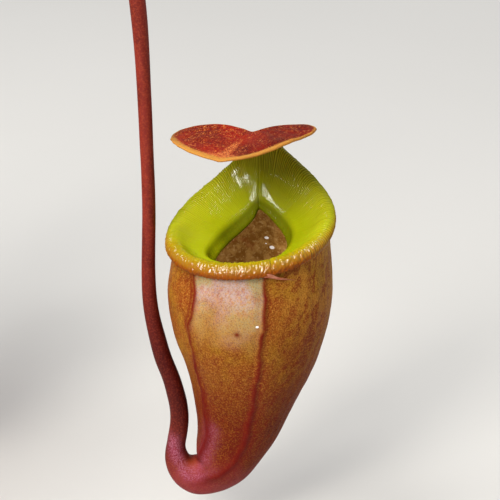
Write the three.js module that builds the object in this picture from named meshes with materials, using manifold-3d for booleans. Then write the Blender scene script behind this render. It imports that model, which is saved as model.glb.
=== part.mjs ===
// A tropical pitcher plant in a plain clay pot: one open pitcher hangs beside the pot from the
// tendril of its leaf. Millimetres, +Z up, origin at the middle of the pot's foot.
import * as THREE from 'three';
import { LoftGeometry } from 'three/addons/geometries/LoftGeometry.js';
import { mergeVertices } from 'three/addons/utils/BufferGeometryUtils.js';
import Module from 'manifold-3d';

const GAP = 0.3; // clearance between pieces that touch
const TURN = Math.PI * 2;

// --- driving dimensions --------------------------------------------------------------------

const pot = {
  height: 92, footRadius: 38, bandBottom: 68, bodyTopRadius: 49, bandRadius: 55, rimRadius: 56.5,
  wall: 5, floor: 6, drainHoles: 3, drainRadius: 4.5, drainCircle: 21, segments: 40,
};
const medium = { top: 83, lump: 1.6, lumpSpacing: 33, wellRadius: 4.7, wellBottom: 42, segments: 30 };
const stem = { radius: 4, tipRadius: 2.4, bottom: 42.5, top: 146, bow: 1.2, bowLength: 140, sides: 10 };
const newLeaf = { length: 42, radius: 2.2, tipRadius: 0.5, lean: [-3, 3] };

// Leaves in the order they grew, oldest and lowest first: where each leaves the stem (azimuth in
// degrees from +X, height), its length and width, its slope at the stem and at its tip, and how
// long its tendril is compared with a full one. The fifth carries the open pitcher.
const OPEN_PITCHER_LEAF = 5;
const leaves = [
  { azimuth: 156, base: 97, length: 112, width: 30, rise: 48, dip: -38, tendril: 0.95, bud: 24 },
  { azimuth: -66, base: 104, length: 108, width: 29, rise: 52, dip: -34, tendril: 0.8, bud: 0 },
  { azimuth: 71, base: 111, length: 106, width: 29, rise: 55, dip: -32, tendril: 1.0, bud: 20 },
  { azimuth: 208, base: 118, length: 114, width: 30, rise: 60, dip: -30, tendril: 1.15, bud: 30 },
  { azimuth: -14, base: 127, length: 113, width: 28, rise: 72, dip: -2, tendril: 0, bud: 0 },
  { azimuth: 124, base: 133, length: 96, width: 25, rise: 66, dip: -16, tendril: 0.6, bud: 0 },
  { azimuth: -99, base: 138.5, length: 84, width: 22, rise: 70, dip: 0, tendril: 0.45, bud: 0 },
  { azimuth: 38, base: 143, length: 62, width: 16, rise: 76, dip: 30, tendril: 0.3, bud: 0 },
];
const blade = { thickness: 1.1, midrib: 1.5, trough: 0.16, stalk: 0.16, stations: 13 };
const tendril = { baseRadius: 1.6, endRadius: 1.1, lead: 6, sway: 6, sides: 6, steps: 18 };

// The line that every plain tendril follows, as [outward, up] from the end of its straight lead,
// and the outline of a closed pitcher, as [share of its length, share of its usual radius].
const tendrilShape = [[0, 0], [8, -5], [13, -17], [14, -32], [10, -45], [3, -50], [-3, -46], [-5, -38]];
const budShape = [
  [0, 0.4], [0.12, 0.75], [0.3, 1.05], [0.5, 1], [0.7, 1.1], [0.85, 1.2], [0.95, 0.85], [1, 0.35],
];
const budSlenderness = 0.13; // its usual radius for each millimetre of its length

// The open pitcher hangs in a vertical plane. Its spine runs down the tendril, round the hook at
// the bottom and up the middle of the cup: [distance right of the mouth's middle, height, radius].
const pitcher = { x: 150, y: -30, wall: 1.4, columns: 24, fluidLevel: 52 };
const hangingTendril = [
  [-29, 162.7, 2.05], [-28.2, 146, 1.8], [-27.9, 121, 1.75], [-27.9, 105, 1.7], [-28.6, 87, 1.8],
  [-28.3, 73, 1.95], [-26.8, 63.8, 2.2], [-25.2, 57.2, 2.3], [-23.5, 51.9, 2.35],
  [-22.2, 46.5, 2.45], [-21.3, 41, 2.5], [-21.3, 35.4, 2.6], [-21.9, 31.2, 2.7],
];
const cup = [
  [-22.2, 28.6, 2.85], [-22.3, 26, 3.2], [-21.8, 22.4, 3.95], [-19.8, 18.9, 5], [-17, 17.3, 5.6],
  [-13.7, 18.2, 6.5], [-9.6, 22.3, 8.3], [-6.3, 29.2, 10.1], [-3.9, 36.6, 12.1],
  [-2.1, 45.4, 14.8], [-0.9, 53.9, 17.6], [-0.2, 62.2, 20.3], [-0.1, 70.3, 22.3],
  [0, 77.7, 23.3], [0.1, 86, 23.3],
];
const HOLLOW_FROM = 6; // the station of the cup where its hollow begins
const wing = { angle: 0.5, height: 0.9, width: 0.14, from: 3 }; // two ribs down the cup's front
// Where the tendril of the open pitcher arches over, between its leaf and the hanging stretch:
// [share of the way across, rise above the leaf's tip as a share of the whole drop, radius].
const arch = [[0, 0, 2], [0.3, 0.02, 1.9], [0.62, -0.08, 1.9], [0.88, -0.38, 2]];

// The mouth, in its own frame: right, forward (away from the lid) and up from its middle, read
// every 30 degrees from the front round to the lid side. Both halves are alike.
const mouth = { x: 149.8, z: 99.6, yaw: 16, roll: 6, stations: 36, sheet: 1.3, inset: 2.2, drop: 2.9 };
const lip = {
  edge: { right: [0, 12, 20.6, 23.9, 20.6, 11, 0], forward: [22.8, 19.8, 11.5, 0, -11.5, -18, -20],
    up: [-5.4, -5, -3.8, -1.4, 3.4, 11, 17.5] },
  crest: { right: [0, 11.4, 19.4, 22.4, 19, 10, 0], forward: [20.8, 17.9, 10.3, 0, -10.5, -16.5, -18.4],
    up: [-1.2, -1, -0.3, 1.3, 5.2, 13, 19.8] },
  crease: { right: [0, 6.9, 11, 12, 9.5, 4.4, 0], forward: [14.6, 12.6, 7.3, 0, -6, -9.5, -11],
    up: [-5, -4.9, -4.6, -3.4, -1.4, 1.8, 3.4] },
  throat: { right: [0, 5.9, 9.4, 10.3, 8, 3.7, 0], forward: [13.2, 11.2, 6.6, 0, -5.4, -8.6, -10.6],
    up: [-9.5, -9.2, -8.4, -7, -4.8, -1.4, 0.6] },
};

// The lid: a broad heart, folded a little along its midline, hinged at its notch on the neck.
const lid = {
  x: 150.7, y: -14, z: 121.6, yaw: 16.5, pitch: 3, roll: -3.6, halfWidth: 19.7, widestAt: 6.65,
  front: 26.6, back: 8, notch: 0.3, riseLeft: -0.04, riseRight: 0.27, bulge: 0.7, tipRise: 1,
  thickness: 1.2, columns: 28,
};
// The neck runs up behind the lip and holds the lid by its notch: [forward, up, radius].
const neck = [[-22.8, 8.5, 1.5], [-22.9, 14, 1.9], [-22.3, 19, 1.9], [-20, 22, 1.6], [-17.4, 22.6, 1.2]];

// --- helpers -------------------------------------------------------------------------------

const rad = THREE.MathUtils.degToRad;
const vec = (x, y, z) => new THREE.Vector3(x, y, z);
const lerp = THREE.MathUtils.lerp;
const UP = vec(0, 0, 1);
const RIGHT = vec(1, 0, 0);
const TO_THE_FRONT = vec(0, -1, 0);

function centreOf(ring) {
  const sum = ring.reduce((total, p) => total.add(p), vec(0, 0, 0));
  return sum.divideScalar(ring.length);
}

// A closed solid through rings of points: each end is drawn in to the middle of its last ring.
function solidThrough(rings) {
  const point = (ring) => ring.map(() => centreOf(ring));
  return new LoftGeometry([point(rings[0]), ...rings, point(rings[rings.length - 1])]);
}

// A ring round `centre`, square to `along`. `out` says where angle 0 points; radius may vary.
function ringAt(centre, along, out, columns, radius) {
  const side = out.clone().addScaledVector(along, -out.dot(along)).normalize();
  const across = vec(0, 0, 0).crossVectors(along, side);
  return Array.from({ length: columns }, (_, i) => {
    const angle = (i / columns) * TURN;
    const r = radius(angle);
    return centre.clone()
      .addScaledVector(side, r * Math.cos(angle))
      .addScaledVector(across, r * Math.sin(angle));
  });
}

// A round shoot along a curve, in even steps. `radius` gives its radius at a share of its length.
function shoot(curve, sides, steps, out, radius) {
  const rings = [];
  for (let i = 0; i <= steps; i++) {
    const t = i / steps;
    rings.push(ringAt(curve.getPointAt(t), curve.getTangentAt(t), out, sides, () => radius(t)));
  }
  return solidThrough(rings);
}

// A smooth solid through stations along a curve, each with a radius of its own.
function swelling(middle, radii, sides, out) {
  const curve = new THREE.CatmullRomCurve3(middle);
  return solidThrough(radii.map((radius, i) => {
    const t = i / (radii.length - 1);
    return ringAt(curve.getPoint(t), curve.getTangent(t), out, sides, () => radius);
  }));
}

const finish = (colour, roughness) =>
  new THREE.MeshStandardMaterial({ color: colour, roughness, metalness: 0 });
const finishes = {
  clay: finish(0xb5673f, 0.9), bark: finish(0x6b4a2f, 0.95), stem: finish(0x7a8a3a, 0.6),
  leaf: finish(0x4f8a2b, 0.45), tendril: finish(0x8f3230, 0.5), cup: finish(0xb0652f, 0.5),
  lip: finish(0x9aa616, 0.2), lid: finish(0xa8391f, 0.45), fluid: finish(0x8a6a3c, 0.05),
  bud: finish(0x9b8a35, 0.5), neck: finish(0x8f9a2c, 0.5),
};

const plant = new THREE.Group();
function add(name, geometry, material) {
  const mesh = new THREE.Mesh(geometry, material);
  mesh.name = name;
  plant.add(mesh);
}

// --- pot and growing medium ----------------------------------------------------------------

const wasm = await Module();
wasm.setup();

function toManifold(geometry) {
  const bare = geometry.clone();
  bare.deleteAttribute('normal');
  bare.deleteAttribute('uv');
  const merged = mergeVertices(bare);
  return new wasm.Manifold(new wasm.Mesh({
    numProp: 3,
    vertProperties: merged.attributes.position.array,
    triVerts: merged.index.array,
  }));
}

function fromManifold(solid) {
  const mesh = solid.getMesh();
  return new THREE.BufferGeometry()
    .setAttribute('position', new THREE.BufferAttribute(mesh.vertProperties, 3))
    .setIndex(new THREE.BufferAttribute(mesh.triVerts, 1));
}

// A turned solid about +Z from [radius, height] pairs.
function turned(profile, segments) {
  const points = profile.map(([r, z]) => new THREE.Vector2(r, z));
  return new THREE.LatheGeometry(points, segments).rotateX(Math.PI / 2);
}

// The thrown clay pot: a straight taper with a thick band at the rim and drain holes in its floor.
function potGeometry() {
  const { height, footRadius, bandBottom, bodyTopRadius, bandRadius, rimRadius, wall, floor } = pot;
  const shell = turned([
    [0, 0], [footRadius, 0], [bodyTopRadius, bandBottom], [bandRadius, bandBottom],
    [rimRadius, height], [rimRadius - wall, height], [bodyTopRadius - wall, bandBottom - wall],
    [footRadius - wall, floor], [0, floor],
  ], pot.segments);
  let solid = toManifold(shell);
  for (let i = 0; i < pot.drainHoles; i++) {
    const angle = (i / pot.drainHoles) * TURN + Math.PI / 2;
    const drill = new THREE.CylinderGeometry(pot.drainRadius, pot.drainRadius, floor * 3, 12)
      .rotateX(Math.PI / 2)
      .translate(pot.drainCircle * Math.cos(angle), pot.drainCircle * Math.sin(angle), 0);
    solid = solid.subtract(toManifold(drill));
  }
  return fromManifold(solid);
}

// Bark and moss packed inside the pot, a little lumpy on top, with a well where the stem stands.
function mediumGeometry() {
  const shoulder = pot.bandBottom - pot.wall;
  const slack = pot.wall + 2 * GAP;
  const footRadius = pot.footRadius - slack;
  const shoulderRadius = pot.bodyTopRadius - slack;
  const { top, lump, lumpSpacing, wellRadius, wellBottom } = medium;
  const geometry = turned([
    [0, pot.floor + GAP], [footRadius, pot.floor + GAP], [shoulderRadius, shoulder],
    [shoulderRadius + 3, top], [34, top], [22, top], [12, top], [wellRadius, top],
    [wellRadius, wellBottom], [0, wellBottom],
  ], medium.segments);
  const corners = geometry.attributes.position;
  for (let i = 0; i < corners.count; i++) {
    const z = corners.getZ(i);
    if (z < shoulder) continue;
    const along = (corners.getX(i) / lumpSpacing) * TURN;
    const across = (corners.getY(i) / lumpSpacing) * TURN;
    if (z > top - GAP) corners.setZ(i, z + lump * Math.sin(along + 1) * Math.cos(across * 0.8 - 0.6));
  }
  return geometry;
}

add('pot', potGeometry(), finishes.clay);
add('growing_medium', mediumGeometry(), finishes.bark);

// --- stem and leaves -----------------------------------------------------------------------

// Above the medium the stem bows a very little.
function stemMiddle(z) {
  const height = Math.max(0, z - medium.top);
  return vec(stem.bow * Math.sin((height / stem.bowLength) * TURN), 0, z);
}
const stemRadius = (z) =>
  THREE.MathUtils.mapLinear(z, stem.bottom, stem.top, stem.radius, stem.tipRadius);

function stemGeometry() {
  const heights = [stem.bottom, medium.top, 95, 107, 119, 131, 141, stem.top];
  return solidThrough(heights.map((z) =>
    ringAt(stemMiddle(z), UP, RIGHT, stem.sides, () => stemRadius(z))));
}

// The midrib of a leaf: an arc in a vertical plane from the stem, as a list of points. `out` is
// the way it grows, seen from above, and `side` is to the left of that.
function midribOf({ azimuth, base, length, rise, dip }) {
  const out = vec(Math.cos(rad(azimuth)), Math.sin(rad(azimuth)), 0);
  const side = vec(0, 0, 0).crossVectors(UP, out);
  const start = stemMiddle(base).addScaledVector(out, stemRadius(base) + 2 * GAP);
  const points = [start];
  const step = length / blade.stations;
  for (let i = 0; i < blade.stations; i++) {
    const slope = rad(lerp(rise, dip, (i + 0.5) / blade.stations));
    points.push(points[i].clone()
      .addScaledVector(out, step * Math.cos(slope))
      .addScaledVector(UP, step * Math.sin(slope)));
  }
  return { out, side, points };
}

// Share of the full width along a blade: a winged stalk, widest past the middle, a pointed tip.
function bladeShare(t) {
  const swell = Math.pow(Math.sin(Math.PI * Math.pow(t, 1.25)), 0.8);
  return blade.stalk + (1 - blade.stalk) * swell * (1 - 0.12 * t);
}

// A thin blade, troughed along a midrib that stands out below.
function bladeGeometry(leaf) {
  const { side, points } = midribOf(leaf);
  const last = points.length - 1;
  const thin = blade.thickness / 2;
  return solidThrough(points.map((p, i) => {
    const along = points[Math.min(i + 1, last)].clone().sub(points[Math.max(i - 1, 0)]).normalize();
    const face = vec(0, 0, 0).crossVectors(along, side);
    const half = (leaf.width / 2) * bladeShare(i / last);
    const edge = half * blade.trough;
    const flank = edge * 0.35;
    const section = [
      [-half, edge], [-half / 2, flank - thin], [0, -blade.midrib], [half / 2, flank - thin],
      [half, edge], [half / 2, flank + thin], [0, thin / 2], [-half / 2, flank + thin],
    ];
    return section.map(([across, height]) =>
      p.clone().addScaledVector(side, across).addScaledVector(face, height));
  }));
}

// A tendril runs straight on from the tip of its blade, drops and hooks up again at its end, and
// sways to one side or the other on the way.
function tendrilCurve(leaf, sway) {
  const { out, side, points } = midribOf(leaf);
  const slope = rad(leaf.dip);
  const onward = out.clone().multiplyScalar(Math.cos(slope)).addScaledVector(UP, Math.sin(slope));
  const start = points[points.length - 1].clone().addScaledVector(onward, 2 * GAP);
  const lead = start.clone().addScaledVector(onward, tendril.lead * leaf.tendril);
  const rest = tendrilShape.map(([outward, up], i) => lead.clone()
    .addScaledVector(out, outward * leaf.tendril)
    .addScaledVector(UP, up * leaf.tendril)
    .addScaledVector(side, sway * leaf.tendril * Math.sin((i / tendrilShape.length) * Math.PI)));
  return new THREE.CatmullRomCurve3([start, ...rest]);
}

// A pitcher that hasn't opened yet: a slim closed cup standing on the end of its tendril.
function budGeometry(curve, length) {
  const end = curve.getTangentAt(1);
  const foot = curve.getPointAt(1).addScaledVector(end, GAP);
  const along = end.clone().lerp(UP, 0.7).normalize();
  return solidThrough(budShape.map(([t, share]) => {
    const middle = foot.clone().addScaledVector(along, t * length);
    return ringAt(middle, along, RIGHT, 8, () => share * length * budSlenderness);
  }));
}

// The newest leaf, still rolled up, at the top of the stem.
function newLeafGeometry() {
  const foot = stemMiddle(stem.top);
  const [leanX, leanY] = newLeaf.lean;
  const curve = new THREE.CatmullRomCurve3([0, 0.4, 1].map((t) =>
    vec(foot.x + leanX * t * t, leanY * t * t, stem.top + GAP + newLeaf.length * t)));
  return shoot(curve, 8, 6, RIGHT, (t) => lerp(newLeaf.radius, newLeaf.tipRadius, t));
}

add('stem', stemGeometry(), finishes.stem);
leaves.forEach((leaf, i) => {
  const number = i + 1;
  add(`leaf_blade_${number}`, bladeGeometry(leaf), finishes.leaf);
  if (number === OPEN_PITCHER_LEAF) return;
  const curve = tendrilCurve(leaf, i % 2 ? tendril.sway : -tendril.sway);
  const taper = (t) => lerp(tendril.baseRadius, tendril.endRadius, t);
  const { side } = midribOf(leaf);
  add(`tendril_${number}`, shoot(curve, tendril.sides, tendril.steps, side, taper), finishes.tendril);
  if (leaf.bud) add(`closed_pitcher_${number}`, budGeometry(curve, leaf.bud), finishes.bud);
});
add('growing_tip', newLeafGeometry(), finishes.leaf);

// --- the open pitcher ----------------------------------------------------------------------

// From the tip of the fifth leaf the tendril arches over and hangs down to the pitcher's hook.
function hangingTendrilGeometry() {
  const { out, points } = midribOf(leaves[OPEN_PITCHER_LEAF - 1]);
  const tip = points[points.length - 1].clone().addScaledVector(out, GAP);
  const hanging = hangingTendril.map(([x, z]) => vec(pitcher.x + x, pitcher.y, z));
  const drop = tip.z - hanging[0].z;
  const over = arch.map(([across, rise]) => vec(
    lerp(tip.x, hanging[0].x, across), lerp(tip.y, pitcher.y, across), tip.z + rise * drop));
  const curve = new THREE.CatmullRomCurve3([...over, ...hanging]);
  const radii = [...arch, ...hangingTendril].map(([, , radius]) => radius);
  return shoot(curve, 8, 34, TO_THE_FRONT, (t) => {
    const place = curve.getUtoTmapping(t) * (radii.length - 1);
    const before = Math.min(Math.floor(place), radii.length - 2);
    return lerp(radii[before], radii[before + 1], place - before);
  });
}

// A point given in the mouth's frame, placed in the part's frame.
function inMouth(right, forward, up) {
  const [yaw, roll] = [rad(mouth.yaw), rad(mouth.roll)];
  const x = right * Math.cos(yaw) - forward * Math.sin(yaw);
  const y = -right * Math.sin(yaw) - forward * Math.cos(yaw);
  return vec(
    mouth.x + x * Math.cos(roll) - up * Math.sin(roll),
    pitcher.y + y,
    mouth.z + x * Math.sin(roll) + up * Math.cos(roll));
}

// A smooth closed curve through one line of the lip; `angle` runs from the front, anticlockwise
// seen from above, so that the right half comes first.
function lipLine({ right, forward, up }) {
  const half = right.map((r, i) => vec(r, forward[i], up[i]));
  const other = half.slice(1, -1).reverse().map((p) => vec(-p.x, p.y, p.z));
  const curve = new THREE.CatmullRomCurve3([...half, ...other], true);
  return (angle) => curve.getPoint((angle / TURN) % 1);
}
const lipLines = {
  edge: lipLine(lip.edge), crest: lipLine(lip.crest),
  crease: lipLine(lip.crease), throat: lipLine(lip.throat),
};

// The same point moved towards the mouth's middle and down.
function tucked(p, inward, down) {
  const share = 1 - inward / Math.hypot(p.x, p.y);
  return vec(p.x * share, p.y * share, p.z - down);
}

// One surface of the cup's wall, `inset` inside the outer one: rings along its spine, then two
// more that draw it up to the underside of the lip. Angle 0 of each ring is the pitcher's front.
function wallRings(inset) {
  const front = inMouth(0, 1, 0).sub(inMouth(0, 0, 0)).setZ(0).normalize();
  const middle = new THREE.CatmullRomCurve3(cup.map(([x, z]) => vec(pitcher.x + x, pitcher.y, z)));
  const rings = cup.map(([, , radius], i) => {
    const t = i / (cup.length - 1);
    const hasWing = inset === 0 && i >= wing.from;
    return ringAt(middle.getPoint(t), middle.getTangent(t), front, pitcher.columns, (angle) => {
      const fromFront = Math.min(angle, TURN - angle);
      const rib = Math.exp(-(((fromFront - wing.angle) / wing.width) ** 2));
      return radius - inset + (hasWing ? wing.height * rib : 0);
    });
  });
  const shoulder = rings[rings.length - 1];
  const underLip = shoulder.map((_, i) => {
    const edge = lipLines.edge((i / pitcher.columns) * TURN);
    const p = tucked(edge, mouth.inset + inset, mouth.drop);
    return inMouth(p.x, p.y, p.z);
  });
  const between = shoulder.map((p, i) => p.clone().lerp(underLip[i], 0.5).addScaledVector(UP, -GAP));
  return [...rings, between, underLip];
}

function cupGeometry() {
  const hollow = wallRings(pitcher.wall).slice(HOLLOW_FROM).reverse();
  return solidThrough([...wallRings(0), ...hollow]);
}

// The fluid in the lower half of the cup, with a level top.
function fluidGeometry() {
  const { wall, fluidLevel } = pitcher;
  const rings = wallRings(wall + GAP * 1.5).slice(HOLLOW_FROM + 1);
  const surface = rings[0].map((_, column) => {
    const above = rings.findIndex((ring) => ring[column].z > fluidLevel);
    const [low, high] = [rings[above - 1][column], rings[above][column]];
    return low.clone().lerp(high, (fluidLevel - low.z) / (high.z - low.z));
  });
  const below = rings.filter((ring) => ring.every((p) => p.z < fluidLevel - 1));
  return solidThrough([...below, surface]);
}

// The lip: a curved sheet rolled out over the rim, sloping in to a crease and down the throat.
function lipGeometry() {
  const { sheet, stations } = mouth;
  const rings = [];
  for (let i = 0; i <= stations; i++) {
    const angle = (i / stations) * TURN;
    const edge = lipLines.edge(angle);
    const crest = lipLines.crest(angle);
    const crease = lipLines.crease(angle);
    const throat = lipLines.throat(angle);
    const roll = tucked(edge.clone().lerp(crest, 0.55), -0.9, 0);
    const slope = crest.clone().lerp(crease, 0.5);
    const section = [
      tucked(edge, sheet * 0.5, sheet * 0.3), tucked(crest, sheet * 0.5, sheet),
      tucked(slope, 0, sheet * 1.3), tucked(crease, -sheet * 0.8, sheet * 0.7),
      tucked(throat, -sheet * 0.8, 0), throat, crease, slope, crest, roll, edge,
    ];
    rings.push(section.map((p) => inMouth(p.x, p.y, p.z)));
  }
  return new LoftGeometry(rings);
}

// A point of the lid: across and along from its notch, at a height over its middle sheet.
function onLid(across, along, height) {
  const share = Math.min(Math.abs(across) / lid.halfWidth, 1);
  const reach = THREE.MathUtils.clamp((along - lid.widestAt) / lid.front, 0, 1);
  const fold = Math.abs(across) * (across < 0 ? lid.riseLeft : lid.riseRight);
  const crown = lid.bulge * Math.sin(share * Math.PI) + lid.tipRise * reach * reach;
  return vec(across, -along, height + fold + crown)
    .applyAxisAngle(RIGHT, -rad(lid.pitch))
    .applyAxisAngle(vec(0, 1, 0), -rad(lid.roll))
    .applyAxisAngle(UP, -rad(lid.yaw))
    .add(vec(lid.x, lid.y, lid.z));
}

// A thin heart: rings of its outline from the middle of its underside, round its edge and back.
function lidGeometry() {
  const outline = Array.from({ length: lid.columns }, (_, i) => {
    const angle = (i / lid.columns) * TURN;
    const dent = (lid.back - lid.widestAt) * Math.exp(-(((angle - Math.PI) / lid.notch) ** 2));
    const reach = Math.cos(angle) > 0 ? lid.front : lid.back;
    return [lid.halfWidth * Math.sin(angle), lid.widestAt + reach * Math.cos(angle) + dent];
  });
  const heart = lid.widestAt + 6;
  const half = lid.thickness / 2;
  const section = [
    [0.3, -half], [0.7, -half], [0.97, -half * 0.8], [1, 0], [0.97, half * 0.8], [0.7, half], [0.3, half],
  ];
  return solidThrough(section.map(([share, height]) => outline.map(([across, along]) =>
    onLid(across * share, heart + (along - heart) * share, height))));
}

function neckGeometry() {
  const middle = neck.map(([along, up]) => inMouth(0, along, up));
  return swelling(middle, neck.map(([, , radius]) => radius), 8, RIGHT);
}

add('hanging_tendril', hangingTendrilGeometry(), finishes.tendril);
add('pitcher_cup', cupGeometry(), finishes.cup);
add('pitcher_lip', lipGeometry(), finishes.lip);
add('pitcher_lid', lidGeometry(), finishes.lid);
add('lid_neck', neckGeometry(), finishes.neck);
add('pitcher_fluid', fluidGeometry(), finishes.fluid);

export default plant;
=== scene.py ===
import random
from math import atan2, cos, hypot, pi, radians, sin, sqrt, tau

import bmesh
import bpy
import numpy as np
from mathutils import Matrix, Vector, noise


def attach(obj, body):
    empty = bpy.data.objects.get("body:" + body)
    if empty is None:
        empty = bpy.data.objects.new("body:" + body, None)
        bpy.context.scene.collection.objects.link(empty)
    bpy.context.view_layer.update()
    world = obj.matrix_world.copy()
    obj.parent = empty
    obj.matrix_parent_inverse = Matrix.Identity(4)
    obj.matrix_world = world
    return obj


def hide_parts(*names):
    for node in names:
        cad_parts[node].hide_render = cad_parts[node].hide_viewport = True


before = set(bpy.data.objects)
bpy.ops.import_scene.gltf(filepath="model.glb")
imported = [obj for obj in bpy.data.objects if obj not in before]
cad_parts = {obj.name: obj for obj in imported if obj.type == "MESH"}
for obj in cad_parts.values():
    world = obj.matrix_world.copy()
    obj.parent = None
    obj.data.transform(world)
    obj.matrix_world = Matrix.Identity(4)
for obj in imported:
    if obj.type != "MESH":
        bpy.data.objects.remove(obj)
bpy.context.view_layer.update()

# The view. One open pitcher is seen from close by through a long lens, a little from above, so
# that the eye looks into its mouth. The pot and the leaves stand to the left, out of the frame.
MM = 0.001
LOOK_AT, LOOK_FROM = Vector((150, -30, 92.3)) * MM, 350 * MM
LOOK_DOWN = radians(24)


def placed(name, data):
    thing = bpy.data.objects.new(name, data)
    bpy.context.scene.collection.objects.link(thing)
    return thing


camera = placed("camera", bpy.data.cameras.new("camera"))
camera.data.lens = 90
camera.data.sensor_width = 36
camera.location = LOOK_AT + LOOK_FROM * Vector((0, -cos(LOOK_DOWN), sin(LOOK_DOWN)))
camera.rotation_euler = (pi / 2 - LOOK_DOWN, 0, 0)
bpy.context.scene.camera = camera
bpy.context.scene.view_settings.view_transform = "Standard"


# The studio. A pale floor curves up into its own backdrop on every side. Soft boxes light it: a
# close key with a weak lamp over it from the left in front, one high on the left, and a large one
# behind on the right.
class Value:
    """A number of a material that may vary over the surface; arithmetic on it adds nodes."""

    def __init__(self, finish, socket):
        self.finish = finish
        self.socket = socket

    def math(self, operation, *terms):
        return self.finish.node("Math", {"operation": operation}, dict(enumerate(terms)))

    def __add__(self, other):
        return self.math("ADD", self, other)

    def __sub__(self, other):
        return self.math("SUBTRACT", self, other)

    def __rsub__(self, other):
        return self.math("SUBTRACT", other, self)

    def __mul__(self, other):
        return self.math("MULTIPLY", self, other)

    __radd__, __rmul__ = __add__, __mul__

    def wave(self):
        return self.math("SINE", self)

    def step(self, low, high):
        """0 below low, 1 above high, eased between; low may be the larger one."""
        inputs = {"Value": self, "From Min": low, "From Max": high}
        return self.finish.node("MapRange", {"interpolation_type": "SMOOTHSTEP"}, inputs)


class Finish:
    """A material as it is mixed: constants sit on its shader, and nodes feed what varies."""

    def __init__(self, name, **constants):
        self.material = bpy.data.materials.new(name)
        self.material.use_nodes = True
        self.tree = self.material.node_tree
        self.shader = self.tree.nodes["Principled BSDF"]
        for socket, constant in constants.items():
            self.shader.inputs[socket.replace("_", " ")].default_value = constant

    def node(self, kind, settings, inputs, out=0):
        made = self.tree.nodes.new("ShaderNode" + kind)
        for setting, choice in settings.items():
            setattr(made, setting, choice)
        for socket, value in inputs.items():
            if isinstance(value, Value):
                self.tree.links.new(value.socket, made.inputs[socket])
            else:
                made.inputs[socket].default_value = value
        return Value(self, made.outputs[out])

    def where(self, stretch=(1, 1, 1), turn=(0, 0, 0)):
        """Places in the part's own frame, in metres, turned and then stretched for a pattern."""
        place = self.node("TexCoord", {}, {}, "Object")
        place = self.node("Mapping", {}, {"Vector": place, "Rotation": turn})
        return self.node("Mapping", {}, {"Vector": place, "Scale": stretch})

    def grain(self, scale, detail=2, rough=0.5, twist=0, **lie):
        inputs = {"Vector": self.where(**lie), "Scale": scale, "Detail": detail}
        inputs.update({"Roughness": rough, "Distortion": twist})
        return self.node("TexNoise", {}, inputs, "Fac")

    def marked(self, *names):
        """How strongly each of the mesh's named marks shows."""
        marks = [self.node("Attribute", {"attribute_name": name}, {}, "Fac") for name in names]
        return marks if len(marks) > 1 else marks[0]

    def painted(self, skin, *coats):
        """Colours laid over a skin one after another, each as thick as its mask. A colour is
        three numbers from 0 to 255, as the eye names it, or one that nodes have made."""
        for share, coat in coats:
            under, over = (dye(colour) for colour in (skin, coat))
            skin = self.node("Mix", {"data_type": "RGBA"}, {0: share, 6: under, 7: over}, 2)
        return skin

    def painted_shade(self, skin, share, tint):
        """Painted shade: the skin darkened by a tint, given as the light it lets through."""
        settings = {"data_type": "RGBA", "blend_type": "MULTIPLY"}
        return self.node("Mix", settings, {0: share, 6: skin, 7: (*tint, 1)}, 2)

    def feed(self, skin, height=None, depth=0.0, **others):
        """Links what varies to the shader: its colour, its relief in metres, and others."""
        if height:
            others["Normal"] = self.node("Bump", {}, {"Height": height, "Distance": depth})
        for socket, value in {"Base_Color": skin, **others}.items():
            self.tree.links.new(value.socket, self.shader.inputs[socket.replace("_", " ")])
        return self


def dye(colour):
    """A colour as the eye names it, 0 to 255, as the light that a surface sends back."""
    if isinstance(colour, Value):
        return colour
    return (*(((c / 255 + 0.055) / 1.055) ** 2.4 if c > 10 else c / 3295 for c in colour), 1)


def turned(profile, steps):
    """A profile of radii and heights, in millimetres, turned once round the upright axis."""
    shape = bmesh.new()
    line = [shape.verts.new((radius * MM, 0, height * MM)) for radius, height in profile]
    for pair in zip(line, line[1:]):
        shape.edges.new(pair)
    bmesh.ops.spin(shape, geom=shape.verts[:] + shape.edges[:], cent=(0, 0, 0), axis=(0, 0, 1),
                   angle=tau, steps=steps, use_merge=True)
    bmesh.ops.remove_doubles(shape, verts=shape.verts, dist=0.002 * MM)
    bmesh.ops.recalc_face_normals(shape, faces=shape.faces)
    return shape


def cast(shape, name, *finishes):
    """Turns a modelled shape into a smooth object with its finishes."""
    mesh = bpy.data.meshes.new(name)
    shape.to_mesh(mesh)
    shape.free()
    for finish in finishes:
        mesh.materials.append(finish.material)
    mesh.shade_smooth()
    return placed(name, mesh)


FLOOR_RADIUS, BACKDROP_RADIUS, FLOOR_STEPS, BENDS = 2600, 1400, 96, 12
floor_finish = Finish("studio_floor", Roughness=0.8, Specular_IOR_Level=0.1,
                      Emission_Color=(1.0, 0.985, 0.965, 1), Emission_Strength=0.3)
mottle = floor_finish.grain(3.0, 3)
floor_finish.feed(floor_finish.painted((166, 164, 159), (mottle, (174, 172, 168))))
floor_profile = [(0, 0)] + [
    (FLOOR_RADIUS + BACKDROP_RADIUS * sin(bend), BACKDROP_RADIUS * (1 - cos(bend)))
    for bend in np.linspace(0, pi / 2, BENDS + 1)]
floor = cast(turned(floor_profile, FLOOR_STEPS), "floor", floor_finish)

world = bpy.data.worlds.new("studio")
world.use_nodes = True
sky = world.node_tree.nodes["Background"].inputs
sky["Color"].default_value, sky["Strength"].default_value = (0.93, 0.96, 1.0, 1), 0.32
bpy.context.scene.world = world


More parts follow.
